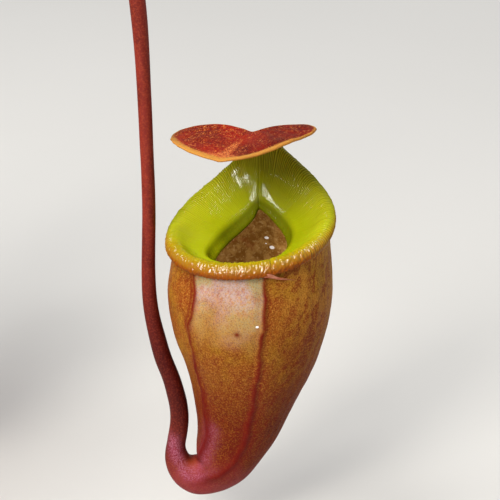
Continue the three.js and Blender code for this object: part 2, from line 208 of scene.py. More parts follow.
def soft_box(name, azimuth, elevation, distance, size, watts, warmth):
    """A lamp that faces the pitcher; azimuth is counted from the front towards the right."""
    turn, lift = radians(azimuth), radians(elevation)
    way = Vector((sin(turn) * cos(lift), -cos(turn) * cos(lift), sin(lift)))
    lamp = bpy.data.lights.new(name, "AREA")
    lamp.shape = "RECTANGLE"
    lamp.size, lamp.size_y = size
    lamp.energy, lamp.color = watts, warmth
    box = placed(name, lamp)
    box.location = LOOK_AT + way * distance
    box.rotation_euler = (-way).to_track_quat("-Z", "Y").to_euler()
    box.visible_camera = False


soft_box("key", -37, 36, 0.75, (0.21, 0.34), 5.8, (1.0, 0.97, 0.92))
soft_box("side", -30, 56, 1.3, (0.3, 0.3), 2.4, (1.0, 0.98, 0.95))
soft_box("top", -78, 65, 1.3, (0.5, 0.5), 10.5, (1.0, 0.99, 0.98))
soft_box("back", 150, 42, 2.2, (1.6, 1.6), 12, (0.97, 0.98, 1.0))

# The hanging tendril. One shoot runs from the tip of the fifth leaf, over and down, turns up
# through a hook and swells into the cup; its line is laid out here as a whole. It is living
# tissue, satin and speckled, and grows in one piece with the leaf and the cup.
PITCHER_X, PITCHER_Y = 150, -30
MOUTH_YAW, MOUTH_ROLL = radians(16), radians(6)
UP, TO_THE_FRONT = np.array([0.0, 0, 1]), np.array([0.0, -1, 0])


def arc(first, last, leaving, arriving, t):
    """A smooth way from one place to another, t of it done, by how it leaves and arrives."""
    return ((1 + 2 * t) * (1 - t) ** 2 * first + t * t * (3 - 2 * t) * last
            + t * (1 - t) ** 2 * leaving - t * t * (1 - t) * arriving)


def flowing(knots, stations, closed=False):
    """A curve of smooth curvature through stations; a closed one ends on its first station."""
    knots, rows = np.asarray(knots, float), np.asarray(stations, float)
    if closed:
        rows = np.concatenate([rows[-4:-1], rows, rows[1:4]])
        turn = knots[-1] - knots[0]
        knots = np.concatenate([knots[-4:-1] - turn, knots, knots[1:4] + turn])
    flat = rows.reshape(len(rows), -1)
    gap = np.diff(knots)
    rise = np.diff(flat, axis=0) / gap[:, None]
    system, pull = np.zeros((len(knots), len(knots))), np.zeros_like(flat)
    system[0, :2], system[-1, -2:] = (2, 1), (1, 2)
    pull[0], pull[-1] = 3 * rise[0], 3 * rise[-1]
    for i in range(1, len(gap)):
        system[i, i - 1:i + 2] = gap[i], 2 * (gap[i] + gap[i - 1]), gap[i - 1]
        pull[i] = 3 * (gap[i] * rise[i - 1] + gap[i - 1] * rise[i])
    slope = np.linalg.solve(system, pull)

    def at(place):
        place = np.asarray(place, float)
        i = np.clip(np.searchsorted(knots, place, side="right") - 1, 0, len(gap) - 1)
        span, share = gap[i][..., None], ((place - knots[i]) / gap[i])[..., None]
        value = arc(flat[i], flat[i + 1], span * slope[i], span * slope[i + 1], share)
        return value.reshape(place.shape + rows.shape[1:])

    return at


def measured(points):
    """How far along a line of points each one lies."""
    steps = np.linalg.norm(np.diff(np.asarray(points, float), axis=0), axis=1)
    return np.concatenate([[0], np.cumsum(steps)])


def unit(vectors):
    return vectors / np.linalg.norm(vectors, axis=-1, keepdims=True)


def between(first, second, share):
    return first + (second - first) * share


def share_of(value, start, span):
    return np.clip((value - start) / span, 0, 1)


def ease(value, low, high):
    t = share_of(value, low, high - low)
    return t * t * (3 - 2 * t)


def ripple(places, size, seed=0.0):
    """Smooth random swellings, -1 to 1, at places in millimetres."""
    shift = Vector((seed, seed * 1.7, -seed))
    return np.array([noise.noise(Vector(place) / size + shift) for place in places])


def rolled_sheet(columns, rows, shape_at, marks=None):
    """A grid drawn into shape: shape_at(u, v) places it, u round it and v along it, in
    millimetres. Its sides are welded where they meet. marks(u, v, places) gives attributes."""
    sheet = bmesh.new()
    sheet.loops.layers.uv.new("UVMap")
    bmesh.ops.create_grid(sheet, x_segments=columns, y_segments=rows, size=1, calc_uvs=True)
    u, v = (np.array([vert.co[:2] for vert in sheet.verts]).T + 1) / 2
    places = shape_at(u, v)
    for vert, place in zip(sheet.verts, places * MM):
        vert.co = place
    for name, amounts in (marks(u, v, places) if marks else {}).items():
        layer = sheet.verts.layers.float.new(name)
        for vert, amount in zip(sheet.verts, amounts):
            vert[layer] = amount
    bmesh.ops.remove_doubles(sheet, verts=sheet.verts, dist=0.002 * MM)
    return sheet


def grown(sheet, name, finishes, slot, *nodes):
    """Turns a modelled shape into a finished piece of the plant that stands for CAD nodes."""
    piece = cast(sheet, name, *finishes)
    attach(piece, "root")
    if nodes:
        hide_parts(*nodes)
    return piece


STEM_BOTTOM, MEDIUM_TOP, STEM_TOP = 42.5, 83, 146


def stem_middle(z):
    return np.array([1.2 * sin(max(0, z - MEDIUM_TOP) / 140 * tau), 0, z])


def stem_radius(z):
    return between(4, 2.4, (z - STEM_BOTTOM) / (STEM_TOP - STEM_BOTTOM))


def level_way(azimuth):
    return np.array([cos(radians(azimuth)), sin(radians(azimuth)), 0])


def midrib(azimuth, base, length, rise, dip, stations=13):
    """The arc of a leaf's midrib in a vertical plane, as points from the stem to its tip."""
    out = level_way(azimuth)
    points = [stem_middle(base) + out * (stem_radius(base) + 0.6)]
    for i in range(stations):
        slope = radians(between(rise, dip, (i + 0.5) / stations))
        step = length / stations * (out * cos(slope) + UP * sin(slope))
        points.append(points[-1] + step)
    return np.array(points)


# The shoot's stations: over from the leaf's tip (share of the way, rise and radius), then down,
# and round the hook up to the mouth (how far right of the pitcher's middle, height and radius).
ARCH = [(0, 0, 1.8), (0.3, 0.02, 1.9), (0.62, -0.08, 1.9), (0.88, -0.38, 2)]
HANGING = [
    (-29, 162.7, 2.15), (-28.2, 146, 1.95), (-27.9, 121, 1.85), (-27.9, 105, 1.85),
    (-28.6, 87, 1.95), (-28.2, 73, 2.15), (-26.6, 63.8, 2.4), (-25.05, 57.2, 2.5),
    (-23.3, 51.9, 2.55), (-22.0, 46.5, 2.65), (-21.1, 41, 2.7), (-21.15, 35.4, 2.75),
    (-21.8, 31.2, 2.8),
]
CUP = [
    (-22.2, 28.6, 2.85), (-22.3, 26, 3.2), (-21.8, 22.4, 3.95), (-19.8, 18.9, 5), (-17, 17.3, 5.6),
    (-13.65, 18.15, 6.6), (-8.95, 21.85, 8.9), (-5.4, 28.8, 10.75), (-3.4, 36.45, 12.6),
    (-2.0, 45.35, 14.95), (-0.9, 53.9, 17.6), (-0.2, 62.2, 20.3), (-0.1, 70.3, 22.3),
    (0, 77.7, 23.3), (0.1, 86, 23.3),
]
bearer = midrib(-14, 127, 113, 72, -2)
leaf_tip = bearer[-1] + 0.3 * unit(bearer[-1] - bearer[-2])
over = np.array([PITCHER_X + HANGING[0][0] - leaf_tip[0], PITCHER_Y - leaf_tip[1], 0])
fall = leaf_tip[2] - HANGING[0][1]
spine_stations = [(*bearer[-2], 0.7), (*between(bearer[-2], bearer[-1], 0.55), 1.35)] + [
    (*(leaf_tip + over * across + UP * rise * fall), radius) for across, rise, radius in ARCH
] + [(PITCHER_X + x, PITCHER_Y, z, radius) for x, z, radius in HANGING + CUP]
spine_marks = measured([station[:3] for station in spine_stations])
spine = flowing(spine_marks, spine_stations)
CUP_START = spine_marks[-len(CUP)]
CUP_SHOULDER = spine_marks[-2] + 2
CUP_CLIMB = CUP_SHOULDER - CUP_START
pitcher_front = np.array([-sin(MOUTH_YAW) * cos(MOUTH_ROLL), -cos(MOUTH_YAW), 0])

# The middle of the narrow gap's round end, inside the hook, and how far the skin keeps from it.
GAP_END, GAP_RADIUS = np.array([132.9, PITCHER_Y, 25.0]), 1.5


def heading(curve, reach, step):
    return unit(curve(reach + step)[..., :3] - curve(reach - step)[..., :3])


def outwards(ahead, front, angle):
    """The way out of a shoot that runs ahead, at an angle round it from its front."""
    front = unit(front - ahead * (ahead @ front)[..., None])
    return front * np.cos(angle)[..., None] + np.cross(ahead, front) * np.sin(angle)[..., None]


def rings(reach, angle, inset=0.0):
    """Points round the spine, `reach` along it, `angle` round it from the pitcher's front. In the
    hook the rings fan out from the end of the gap, so that none of them cross."""
    here = spine(reach)
    to_gap = GAP_END - here[..., :3]
    gap_distance = np.linalg.norm(to_gap, axis=-1)
    to_gap = to_gap / gap_distance[..., None]
    in_hook = ease(to_gap[..., 2], -0.35, 0.4) * ease(gap_distance, 18, 12)
    fanned = ease(to_gap[..., 2], -0.85, 0.6) * ease(gap_distance, 26, 9)
    square = np.cross([0, 1, 0], to_gap)
    ahead = unit(between(heading(spine, reach, 0.05), square, fanned[..., None]))
    outward = outwards(ahead, pitcher_front, angle)
    towards_gap = ease((outward * to_gap).sum(-1), 0.35, 1.0)
    radius = between(here[..., 3], gap_distance - GAP_RADIUS, towards_gap * in_hook)
    past = here[..., 0] - GAP_END[0]
    too_far = np.maximum(radius - (past - GAP_RADIUS + 0.4) / np.maximum(-outward[..., 0], 0.5), 0)
    beside_gap = ease(here[..., 2], GAP_END[2] - 3, GAP_END[2]) * ease(past, 5, 8)
    radius = radius - too_far * beside_gap * towards_gap
    return here[..., :3] + outward * (radius - inset)[..., None], outward


SEAM_ROSE = 0.5  # how rosy the shoot's red is where the tendril's skin passes into the cup's
TENDRIL_LAP = 1.2  # how far the tendril's skin runs on inside the cup's
TENDRIL_CAP = 0.02  # the share of its sheet that closes its end


def tendril_shape(u, v):
    reach = np.clip(v * (1 + TENDRIL_CAP), 0, 1) * (CUP_START + TENDRIL_LAP)
    places, outward = rings(reach, u * tau)
    open_share = np.where(v > 1 - TENDRIL_CAP, (1 - v) / TENDRIL_CAP, 1.0) * (v > 0)
    here = spine(reach)
    lap = 0.04 * ease(reach, CUP_START - 1, CUP_START)
    radius = here[:, 3] - lap + 0.05 * ripple(places, 9, 3)
    return here[:, :3] + outward * (radius * open_share)[:, None]


# Where a pink sheen is painted on the skin: round the hook, along the lower rib and up the foot
# of the cup. Each line has the square of its width after its places.
PAINTED_SHEEN_LINES = [
    ([(127, -32.5, 31), (127.7, -33, 27), (129.6, -33.5, 24.5), (132, -34.3, 22.8),
      (134.6, -34.8, 24.9), (136.6, -37, 31.5), (138.5, -39.2, 38.5)], 4.6),
    ([(129.6, -34, 22.5), (131.4, -35.3, 20.2), (134.5, -35.9, 20.4), (137.5, -36.9, 22.2),
      (140.5, -38, 25)], 1.8),
    ([(136.2, -36.8, 29), (137.6, -38.4, 34.5), (138.8, -39.6, 40)], 7.0),
]


def near(places, points, width):
    """1 at any of some points and less beside them."""
    return np.exp(-((places[:, None] - points) ** 2).sum(-1).min(1) / width)


def near_lines(places, lines):
    """1 on any of some lines, each given with the square of its width, and less beside them."""
    along = [(flowing(measured(line), line)(np.linspace(0, measured(line)[-1], 24)), width)
             for line, width in lines]
    return np.maximum.reduce([near(places, points, width) for points, width in along])


def tendril_marks(u, v, places):
    height = places[:, 2]
    rose = ease(height, 55, 108) + SEAM_ROSE * ease(height, 46, 31)
    return {"rose": rose, "blush": near_lines(places, PAINTED_SHEEN_LINES)}


def tissue(name, **constants):
    """Living plant tissue: light goes a little way in."""
    defaults = {"Roughness": 0.45, "Specular_IOR_Level": 0.3, "Subsurface_Weight": 0.1}
    return Finish(name, **{**defaults, "Subsurface_Scale": MM, **constants})


def shoot_red(finish, rose):
    """The red skin that the tendril and the cup's hook share; rose is 1 at the tendril's top."""
    grain, patchy = finish.grain(1900, 3, 0.65), finish.grain(260, 3, stretch=(1, 1, 0.35))
    return finish.painted(
        (70, 6, 3), (rose, (120, 36, 27)),
        (patchy.step(0.42, 0.7) * 0.5, (58, 5, 3)),
        (grain.step(0.46, 0.62) * (0.25 + 0.3 * rose), (146, 58, 34)))


def with_painted_sheen(finish, skin):
    """The same skin with a painted pink sheen and paler grains as painted glints, where marked."""
    blush = finish.marked("blush")
    bloom = finish.grain(620, 3, 0.65, stretch=(1, 1, 0.7))
    grains = finish.grain(3000, 2, 0.65, stretch=(1, 1, 0.85))
    return finish.painted(
        skin, (blush * (0.3 + 0.6 * bloom), (134, 48, 68)),
        (blush * grains.step(0.44, 0.6) * 0.55, (184, 116, 138)))


tendril = tissue("tendril_skin", Roughness=0.55, Specular_IOR_Level=0.15)
tendril.feed(with_painted_sheen(tendril, shoot_red(tendril, tendril.marked("rose"))),
             tendril.grain(1500, 3, 0.65), 0.12 * MM)
grown(rolled_sheet(40, 360, tendril_shape, tendril_marks), "hanging_tendril_skin", [tendril],
      "pitcher_tendril", "hanging_tendril")

# The cup. The shoot swells into a thin wall of living tissue, which grows up to the underside of
# the lip, folds over its rim and lines the hollow. Two raised ribs run down its front.
MOUTH_MIDDLE, WALL = (149.8, PITCHER_Y, 99.6), 1.3
OUTER_ROWS, SHOULDER_ROWS, RIM_ROWS, INNER_ROWS = 196, 50, 4, 60
RIM_START = OUTER_ROWS + SHOULDER_ROWS
RIM_END = RIM_START + RIM_ROWS
CUP_ROWS = RIM_END + INNER_ROWS
HOLLOW_BOTTOM = CUP_START + 24
# The way up the cup: how much of it lies above the widest ring, its end, and that of its ribs.
SHOULDER_CLIMB, RIM_UP, RIB_ENDS = 12, 98, (6, 94)
# Where the two ribs run: how far up the cup from its hook, and how far round from the front.
LEFT_RIB = [
    (8, -2.5), (14, -1.9), (20, -1.25), (27, -0.82), (34, -0.59), (45, -0.53), (62, -0.56),
    (74, -0.51), (80, -0.51), (84, -0.46), (94, -0.52)]
RIGHT_RIB = [
    (4, -0.4), (10, -0.3), (16, -0.12), (22, 0.06), (28, 0.27), (36, 0.39), (60, 0.38),
    (80, 0.42), (94, 0.44)]
ribs = [flowing(*np.array(line).T) for line in (LEFT_RIB, RIGHT_RIB)]


def hump(distance, width):
    """1 in the middle of a ridge, falling off to both sides."""
    return np.exp(-((distance / width) ** 2))


def from_front(angle):
    """An angle round a shoot as -pi to pi, with 0 in front."""
    return np.mod(angle + pi, tau) - pi


def in_mouth(place):
    """Right, forward and up from the middle of the mouth, carried into the part's frame."""
    right, ahead, up = place[..., 0], place[..., 1], place[..., 2]
    x = right * cos(MOUTH_YAW) - ahead * sin(MOUTH_YAW)
    y = -right * sin(MOUTH_YAW) - ahead * cos(MOUTH_YAW)
    level, tilt = cos(MOUTH_ROLL), sin(MOUTH_ROLL)
    return np.stack([x * level - up * tilt, y, x * tilt + up * level], -1) + MOUTH_MIDDLE


# The lines of the lip, every 30 degrees from the front to the neck: right, forward and up. Then
# how far each line's left stations, from the neck to the front, stand nearer to the middle.
LIP_HALVES = {
    "edge": ([0, 12, 20.6, 23.9, 20.6, 11, 0], [22.8, 19.8, 11.5, 0, -11.5, -18, -20],
             [-5.4, -5, -3.8, -1.4, 3.4, 11, 17.5]),
    "crest": ([0, 11.4, 19.4, 22.4, 19, 10, 0], [20.8, 17.9, 10.3, 0, -10.5, -16.5, -18.4],
              [-1.2, -1, -0.3, 1.3, 5.2, 13, 19.8]),
    "crease": ([0, 6.9, 11, 12, 9.5, 4.4, 0], [14.6, 12.6, 7.3, 0, -6, -9.5, -11],
               [-5, -4.9, -4.6, -3.4, -1.4, 1.8, 3.4]),
    "throat": ([0, 5.9, 9.4, 10.3, 8, 3.7, 0], [13.2, 11.2, 6.6, 0, -5.4, -8.6, -10.6],
               [-9.5, -9.2, -8.4, -7, -4.8, -1.4, 0.6]),
}
LEFT_LEAN = {
    "edge": [2.0, 1.2, 0.5, 0, 0, 0], "crest": [2.0, 1.2, 0.5, 0, 0, 0],
    "crease": [2.0, 3.0, 2.1, 0.2, 0, 0], "throat": [2.5, 3.2, 2.1, 0.2, 0, 0],
}
lip_lines = {}
for line, half in LIP_HALVES.items():
    right_side = np.array(half, float).T
    left_side = right_side[-2::-1] * (-1, 1, 1) + np.outer(LEFT_LEAN[line], (0.96, -0.28, 0))
    lip_lines[line] = flowing(
        np.linspace(0, tau, 13), np.concatenate([right_side, left_side]), closed=True)


def tucked(place, inward, down):
    """The same point of the mouth moved towards its middle and down."""
    size = np.linalg.norm(place[..., :2], axis=-1, keepdims=True)
    return np.concatenate([place[..., :2] * (1 - inward / size), place[..., 2:] - down], -1)


def through_lip(place, crest, crease, depth):
    """The same point of the lip's slope moved square through it towards its hidden side."""
    inward = np.linalg.norm(crest[..., :2], axis=-1, keepdims=True)
    inward = inward - np.linalg.norm(crease[..., :2], axis=-1, keepdims=True)
    down = crest[..., 2:] - crease[..., 2:]
    span = np.hypot(inward, down)
    return tucked(place, -down / span * depth, inward / span * depth)


def sag_share(angle):
    """The lip sags most in front and not at all from its sides to the neck."""
    return ease(np.abs(from_front(angle)), 1.9, 0.5)[..., None]


def lip_crest(angle):
    sag = sag_share(angle)
    return tucked(lip_lines["crest"](np.mod(angle, tau)), 0.35 * sag, 1.05 * sag)


def to_the_lip(climb, angle, inset):
    """From the widest ring of the cup up to the underside of the lip."""
    start, _ = rings(np.full_like(climb, CUP_SHOULDER), angle, inset)
    edge, crease = (lip_lines[line](np.mod(angle, tau)) for line in ("edge", "crease"))
    crest = lip_crest(angle)
    down_slope = (0.4 + inset) / np.linalg.norm(crest - crease, axis=-1, keepdims=True)
    end = in_mouth(through_lip(between(crest, crease, down_slope), crest, crease, 0.85))
    below = in_mouth(tucked(edge, 2.0 + inset, 2.6))
    span = np.linalg.norm(end - start, axis=-1)[:, None]
    return arc(start, end, span * heading(spine, CUP_SHOULDER, 0.05), span * unit(end - below),
               climb[:, None])


def cup_angle(u):
    """The cup's columns stand closer together in front, where its ribs are."""
    return u * tau - 0.42 * np.sin(u * tau)


def cup_shape(u, v):
    """Up the outside of the cup to the lip, over its rim, and down its inside."""
    row, angle = v * CUP_ROWS, cup_angle(u)
    half = INNER_ROWS / 2
    outer, _ = rings(CUP_START + CUP_CLIMB * share_of(row, 0, OUTER_ROWS), angle)
    shoulder = to_the_lip(share_of(row, OUTER_ROWS, SHOULDER_ROWS), angle, 0.0)
    inside = to_the_lip(1 - share_of(row, RIM_END, half), angle, WALL)
    upper = between(shoulder, inside, share_of(row, RIM_START, RIM_ROWS)[:, None])
    reach = between(CUP_SHOULDER, HOLLOW_BOTTOM, share_of(row, RIM_END + half, half))
    hollow, _ = rings(reach, angle, WALL)
    row = row[:, None]
    return np.where(row <= OUTER_ROWS, outer, np.where(row <= RIM_END + half, upper, hollow))


def up_the_cup(v):
    """How far up the cup from its hook each row lies, and the spine there."""
    row = v * CUP_ROWS
    up = share_of(row, 0, OUTER_ROWS) * CUP_CLIMB + SHOULDER_CLIMB * share_of(
        row, OUTER_ROWS, SHOULDER_ROWS)
    return up, spine(np.clip(CUP_START + up, 0, CUP_SHOULDER))


def rib_distance(u, v):
    """Millimetres round the cup from each rib, the way up, and the angle from the front."""
    up, core = up_the_cup(v)
    angle = from_front(cup_angle(u))
    waver = (0.28 * np.sin(up * 0.42 + 1) + 0.16 * np.sin(up * 1.13)) * ease(up, 30, 60)
    away = [from_front(angle - rib(np.clip(up, *RIB_ENDS))) * core[:, 3] + waver for rib in ribs]
    return away, up, angle


def cup_relief(u, v):
    """The cup with its ribs, the grooves beside them, its veins and its soft dents."""
    places = cup_shape(u, v)
    (left, right), up, angle = rib_distance(u, v)
    width = 0.75 + 0.6 * (1 - ease(up, 25, 60))
    crown = (0.38 + 0.08 * np.sin(up * 0.9) + 0.18 * ripple(places, 4, 12)) * ease(up, 6, 26)
    lift = 0.25 * hump(left + 1.3 * ease(up, 78, 82), 0.35) * ease(up, 74, 82)
    for away in (left, right):
        groove = 0.1 * hump(np.abs(away) - 1.5, 0.6) * ease(up, 20, 40)
        lift = lift + hump(away, width) * crown - groove
    veins = np.sin(angle * 34 + 1.5 * np.sin(up * 0.13)) * ease(np.abs(angle), 0.6, 1.0)
    soft = 0.16 * ripple(places, 9, 1) + 0.05 * ripple(places, 2.6, 2)
    lift = lift + 0.05 * veins * ease(up, 20, 50) + soft * ease(up, 0, 12)
    lift = lift * (v * CUP_ROWS <= RIM_START) * (1 - 0.6 * ease(up, 90, RIM_UP))
    return places + unit(places - up_the_cup(v)[1][:, :3]) * lift[:, None]


# A brown spot on the pale front, and the orange saddle at the end of the gap: a place and the
# square of its width.
SPOT, SADDLE = ([(146.5, -53.1, 77.6)], 0.8), ([(132.4, -31.5, 23.6)], 5.0)


def cup_marks(u, v, places):
    (left, right), up, angle = rib_distance(u, v)
    slim = 0.62 + 1.2 * (1 - ease(up, 26, 72))
    border = 1.9 + 2.8 * (1 - ease(up, 25, 75))
    nearer = np.minimum(np.abs(left), np.abs(right))
    twin = 0.75 * hump(left + 1.5 * ease(up, 70, 80), 0.55) * ease(up, 70, 78)
    ends = ease(up, 8, 24)
    between_ribs = ease(left, -0.2, 1.0) * ease(-right, -0.2, 1.0)
    ragged_up = up + 9 * ripple(places, 9, 5) + 4 * ripple(places, 3, 6)
    uneven = np.clip(0.95 + 0.35 * ripple(places, 3.5, 9), 0, 1)
    return {
        "rib": np.maximum(hump(nearer, slim), twin) * ends * uneven,
        "border": hump(nearer, border) * ends * (0.8 - 0.45 * ease(up, 60, 90)),
        "pale": between_ribs * ease(ragged_up, 69, 92),
        "front": between_ribs,
        "up": up / RIM_UP,
        # shady: the cup's right side, where the skin is darkened as painted shade
        "shady": ease(right, 0.0, 12.0) * ease(-angle, -2.9, -1.9),
        "crook": ease(up, 2, 11) - ease(up + 5 * ripple(places, 6, 8), 14, 36),
        "shoot": 1 - ease(up + 2 * ripple(places, 4, 8), 0, 12),
        "spot": near(places, *SPOT),
        # gap: the cup's side facing the tendril across the narrow gap, painted darker as shade
        "gap": hump(from_front(angle + 1.6), 0.5) * ease(up, 50, 30),
        "blush": near_lines(places, PAINTED_SHEEN_LINES),
        "saddle": near(places, *SADDLE),
    }


cup = tissue("cup_skin", Roughness=0.55, Specular_IOR_Level=0.05, Subsurface_Weight=0.08)
grain, clouds = cup.grain(1900, 3, 0.7), cup.grain(95, 3)
dust = cup.grain(3000, 2, 0.65, stretch=(1, 1, 0.85))
flecks = cup.grain(620, 3, 0.65, stretch=(1, 1, 0.7))
streaks = cup.grain(340, 3, 0.6, 0.4, stretch=(1, 1, 0.35), turn=(0, -0.6, 0))
rosy = cup.grain(520, 4, 0.65, stretch=(1, 1, 0.8))
up, rib, border, pale = cup.marked("up", "rib", "border", "pale")
front, shady, crook = cup.marked("front", "shady", "crook")
low = up.step(0.72, 0.42)
pale_skin = cup.painted(
    (180, 158, 152), (clouds.step(0.4, 0.56), (164, 154, 114)),
    (rosy.step(0.5, 0.62) * 0.5, (170, 104, 92)),
    (up.step(0.92, 0.8) * 0.7, (178, 138, 72)))
skin = cup.painted(
    (132, 68, 16), (low, (100, 30, 8)),
    (up.step(0.7, 0.95) * (1 - front), cup.painted((134, 68, 20), (shady, (182, 124, 44)))),
    (clouds.step(0.42, 0.62) * up.step(0.45, 0.75) * 0.6, (150, 110, 24)),
    (streaks.step(0.49, 0.57) * (0.35 + 0.4 * shady), (118, 34, 14)),
    (flecks.step(0.5, 0.66) * 0.4, (98, 30, 9)),
    (pale * 0.92, pale_skin),
    (grain.step(0.46, 0.62) * (0.55 - 0.2 * low - 0.15 * crook), (182, 128, 50)),
    (dust.step(0.48, 0.62) * (0.6 - 0.3 * pale), (92, 20, 8)),
    (dust.step(0.44, 0.36) * (0.12 + 0.22 * low), (182, 108, 50)))
# Painted shade: the cup's right side darkened, most of all low down.
skin = cup.painted_shade(skin, shady * up.step(0.9, 0.55) * 0.9, (0.66, 0.44, 0.12))
# Painted shade: the lower body, away from the right side, deepened and its blue taken out.
skin = cup.painted_shade(skin, low * (1 - shady) * up.step(0.1, 0.35), (0.85, 0.7, 0.5))
skin = cup.painted(skin, (cup.marked("shoot"), shoot_red(cup, SEAM_ROSE)),
                   (crook * (0.35 + 0.6 * flecks), (146, 58, 66)))
skin = cup.painted(
    with_painted_sheen(cup, skin),
    # The orange saddle, then painted shade where the wall faces the tendril across the gap.
    (cup.marked("saddle") * 0.8, (160, 70, 26)), (cup.marked("gap") * 0.6, (96, 22, 18)),
    (border * (0.2 + 0.5 * grain.step(0.6, 0.4)), (112, 26, 18)),
    (rib * 0.92, (100, 14, 8)), (cup.marked("spot"), (104, 16, 8)))
cup.feed(skin, grain + 0.7 * flecks, 0.15 * MM)

# The lining glows in its own colour: painted light, standing for light let through the thin wall.
inside = tissue("cup_inside", Roughness=0.4, Specular_IOR_Level=0.2, Subsurface_Weight=0.0,
                Emission_Strength=0.55)
mottle = inside.grain(420, 5, 0.7, stretch=(1, 1, 0.8))
specks = inside.grain(1100)
skin = inside.painted(
    (110, 72, 26), (mottle.step(0.4, 0.62), (146, 108, 56)),
    (inside.grain(130).step(0.52, 0.66) * 0.6, (116, 54, 26)),
    (specks.step(0.56, 0.68) * 0.4, (182, 148, 96)))
inside.feed(skin, mottle + 0.5 * specks, 0.3 * MM, Emission_Color=skin)

cup_sheet = rolled_sheet(256, CUP_ROWS, cup_relief, cup_marks)
uv = cup_sheet.loops.layers.uv.active
for face in cup_sheet.faces:
    middle = sum(loop[uv].uv.y for loop in face.loops) / len(face.loops)
    face.material_index = int(middle > RIM_START / CUP_ROWS)
bmesh.ops.holes_fill(cup_sheet, edges=[edge for edge in cup_sheet.edges if edge.is_boundary])
grown(cup_sheet, "pitcher_cup_skin", [cup, inside], "pitcher_wall", "pitcher_cup")

# A dry pink wing, the torn end of the right rib, stands out under the lip. It is a thin fold of
# skin, drawn along a line with its half height.
WING_LINE = [(153.3, -52.7, 94.6), (154.6, -52.6, 94.9), (156.6, -51.7, 94.0), (158.8, -50.7, 93.1),
             (162.4, -48.7, 91.9)]
WING_HALF_HEIGHT = [0.25, 0.62, 0.5, 0.3, 0.05]
WING_OUT, WING_ACROSS = [0.25, -0.95, 0.1], [0.1, 0, 1]


def shoot_through(points, radii):
    """The curve of a shoot, with its radius, and how long it is."""
    marks = measured(points)
    return flowing(marks, np.column_stack([points, radii])), marks[-1]


def run_mark(u, v, places):
    return {"run": v}


wing_curve, wing_length = shoot_through(WING_LINE, WING_HALF_HEIGHT)


def wing_shape(u, v):
    here, angle = wing_curve(v * wing_length), u * tau
    half = here[:, 3] * np.sqrt(np.clip(np.minimum(v * 12, (1 - v) * 30), 0, 1))
    out = 0.16 * np.sin(angle) + 0.25 * np.cos(angle) + 0.12 * np.sin(v * 14)
    return here[:, :3] + np.outer(np.cos(angle) * half, WING_ACROSS) + np.outer(
        out * half / 0.8, WING_OUT)


wing = tissue("rib_wing_skin", Roughness=0.6)
fibres = wing.grain(900, 3, stretch=(0.4, 1, 2))
skin = wing.painted((160, 74, 48), (fibres.step(0.35, 0.65), (192, 124, 94)))
skin = wing.painted(skin, (wing.marked("run").step(0.35, 1.0), (142, 78, 34)))
wing.feed(skin, fibres, 0.1 * MM)
grown(rolled_sheet(28, 80, wing_shape, run_mark), "rib_wing", [wing], "pitcher_wall")

# Wet drops cling to the wall, one outside and three inside, flattened where they sit. Each has its
# place, how wide it is, and the way that the wall faces there.
INNER_WALL_WAY, DROP_SQUASH = (-0.23, -0.96, -0.12), Matrix.Diagonal((1.15, 0.8, 0.55, 1))
DROPS = [
    ((151.9, -53.25, 80.1), 0.42, (0, -1, 0)), ((155.0, -9.2, 87.2), 0.75, INNER_WALL_WAY),
    ((154.8, -8.8, 85.1), 0.4, INNER_WALL_WAY), ((156.6, -9.2, 83.9), 0.7, INNER_WALL_WAY)]
drops = bmesh.new()
for place, radius, way in DROPS:
    lie = Vector(way).to_track_quat("Z", "Y").to_matrix().to_4x4() @ DROP_SQUASH
    bmesh.ops.create_icosphere(drops, subdivisions=3, radius=radius * MM,
                               matrix=Matrix.Translation(Vector(place) * MM) @ lie)
# The drops glow and are near white: painted highlights on them.
drop_finish = Finish("wet_drops", Roughness=0.04, IOR=1.36, Transmission_Weight=0.25,
                     Emission_Color=(1, 1, 1, 1), Emission_Strength=0.45)
drop_finish.feed(drop_finish.painted((196, 186, 176), (drop_finish.grain(900), (226, 224, 226))))
grown(drops, "wet_drops", [drop_finish], "pitcher_fluid")

# The lip. A sheet of hard, glossy ridges, rolled out over the cup's rim and sloping in to a
# crease, below which it turns down the throat. It grows in one piece with the cup's wall.
RIDGES, LIP_COLUMNS = 196, 1344
RIDGE_SIZES = (0.25, 0.6, 0.9, 1.2, 1.5)
# How far apart the ridges stand, in millimetres, by the angle round from the front.
RIDGE_PITCH = ([0, 0.7, 1.3, 2.1, pi], [1.15, 1.0, 0.66, 0.62, 0.8])
CLEFT_AT, CLEFT_RADIUS, CLEFT_DEPTH = 0.5, 23, 0.5  # over the right rib
GROOVE_DEPTH, GROOVE_WIDTH, BEAD_HEIGHT = 0.6, 0.075, 0.34
# Each stretch of the lip's section: its rows, and how high the ridges stand at its start.
LIP_STRETCHES = [
    (2, 0.0), (2, 0.02), (6, 0.03), (7, 0.11), (7, 0.2), (8, 0.075), (5, 0.05), (5, 0.03),
    (4, 0.06), (2, 0.1), (2, 0.0), (3, 0.0), (4, 0.0), (4, 0.0), (3, 0.0)]


def lip_stations(angle):
    """The section of the lip at each angle, from under its rolled edge over the top and back."""
    edge, crease, throat = (lip_lines[line](angle) for line in ("edge", "crease", "throat"))
    crest, throat = lip_crest(angle), tucked(throat, 0, 0.5 * sag_share(angle))
    section = [
        tucked(edge, 0.75, -0.15), tucked(edge, 0.35, 0.4), edge,
        tucked(between(edge, crest, 0.5), -0.9, -0.1), tucked(crest, -0.1, 0),
        tucked(between(crest, crease, 0.4), 0, 0.15), tucked(between(crest, crease, 0.78), 0, 0.1),
        crease, tucked(between(crease, throat, 0.5), 0.15, 0), throat,
        tucked(throat, -0.45, 0.35), tucked(throat, -0.9, -0.1),
    ] + [through_lip(between(crest, crease, share), crest, crease, depth)
         for share, depth in ((1, 1.45), (0.5, 1.4), (0.1, 1.35))]
    return np.array(section + section[:1])


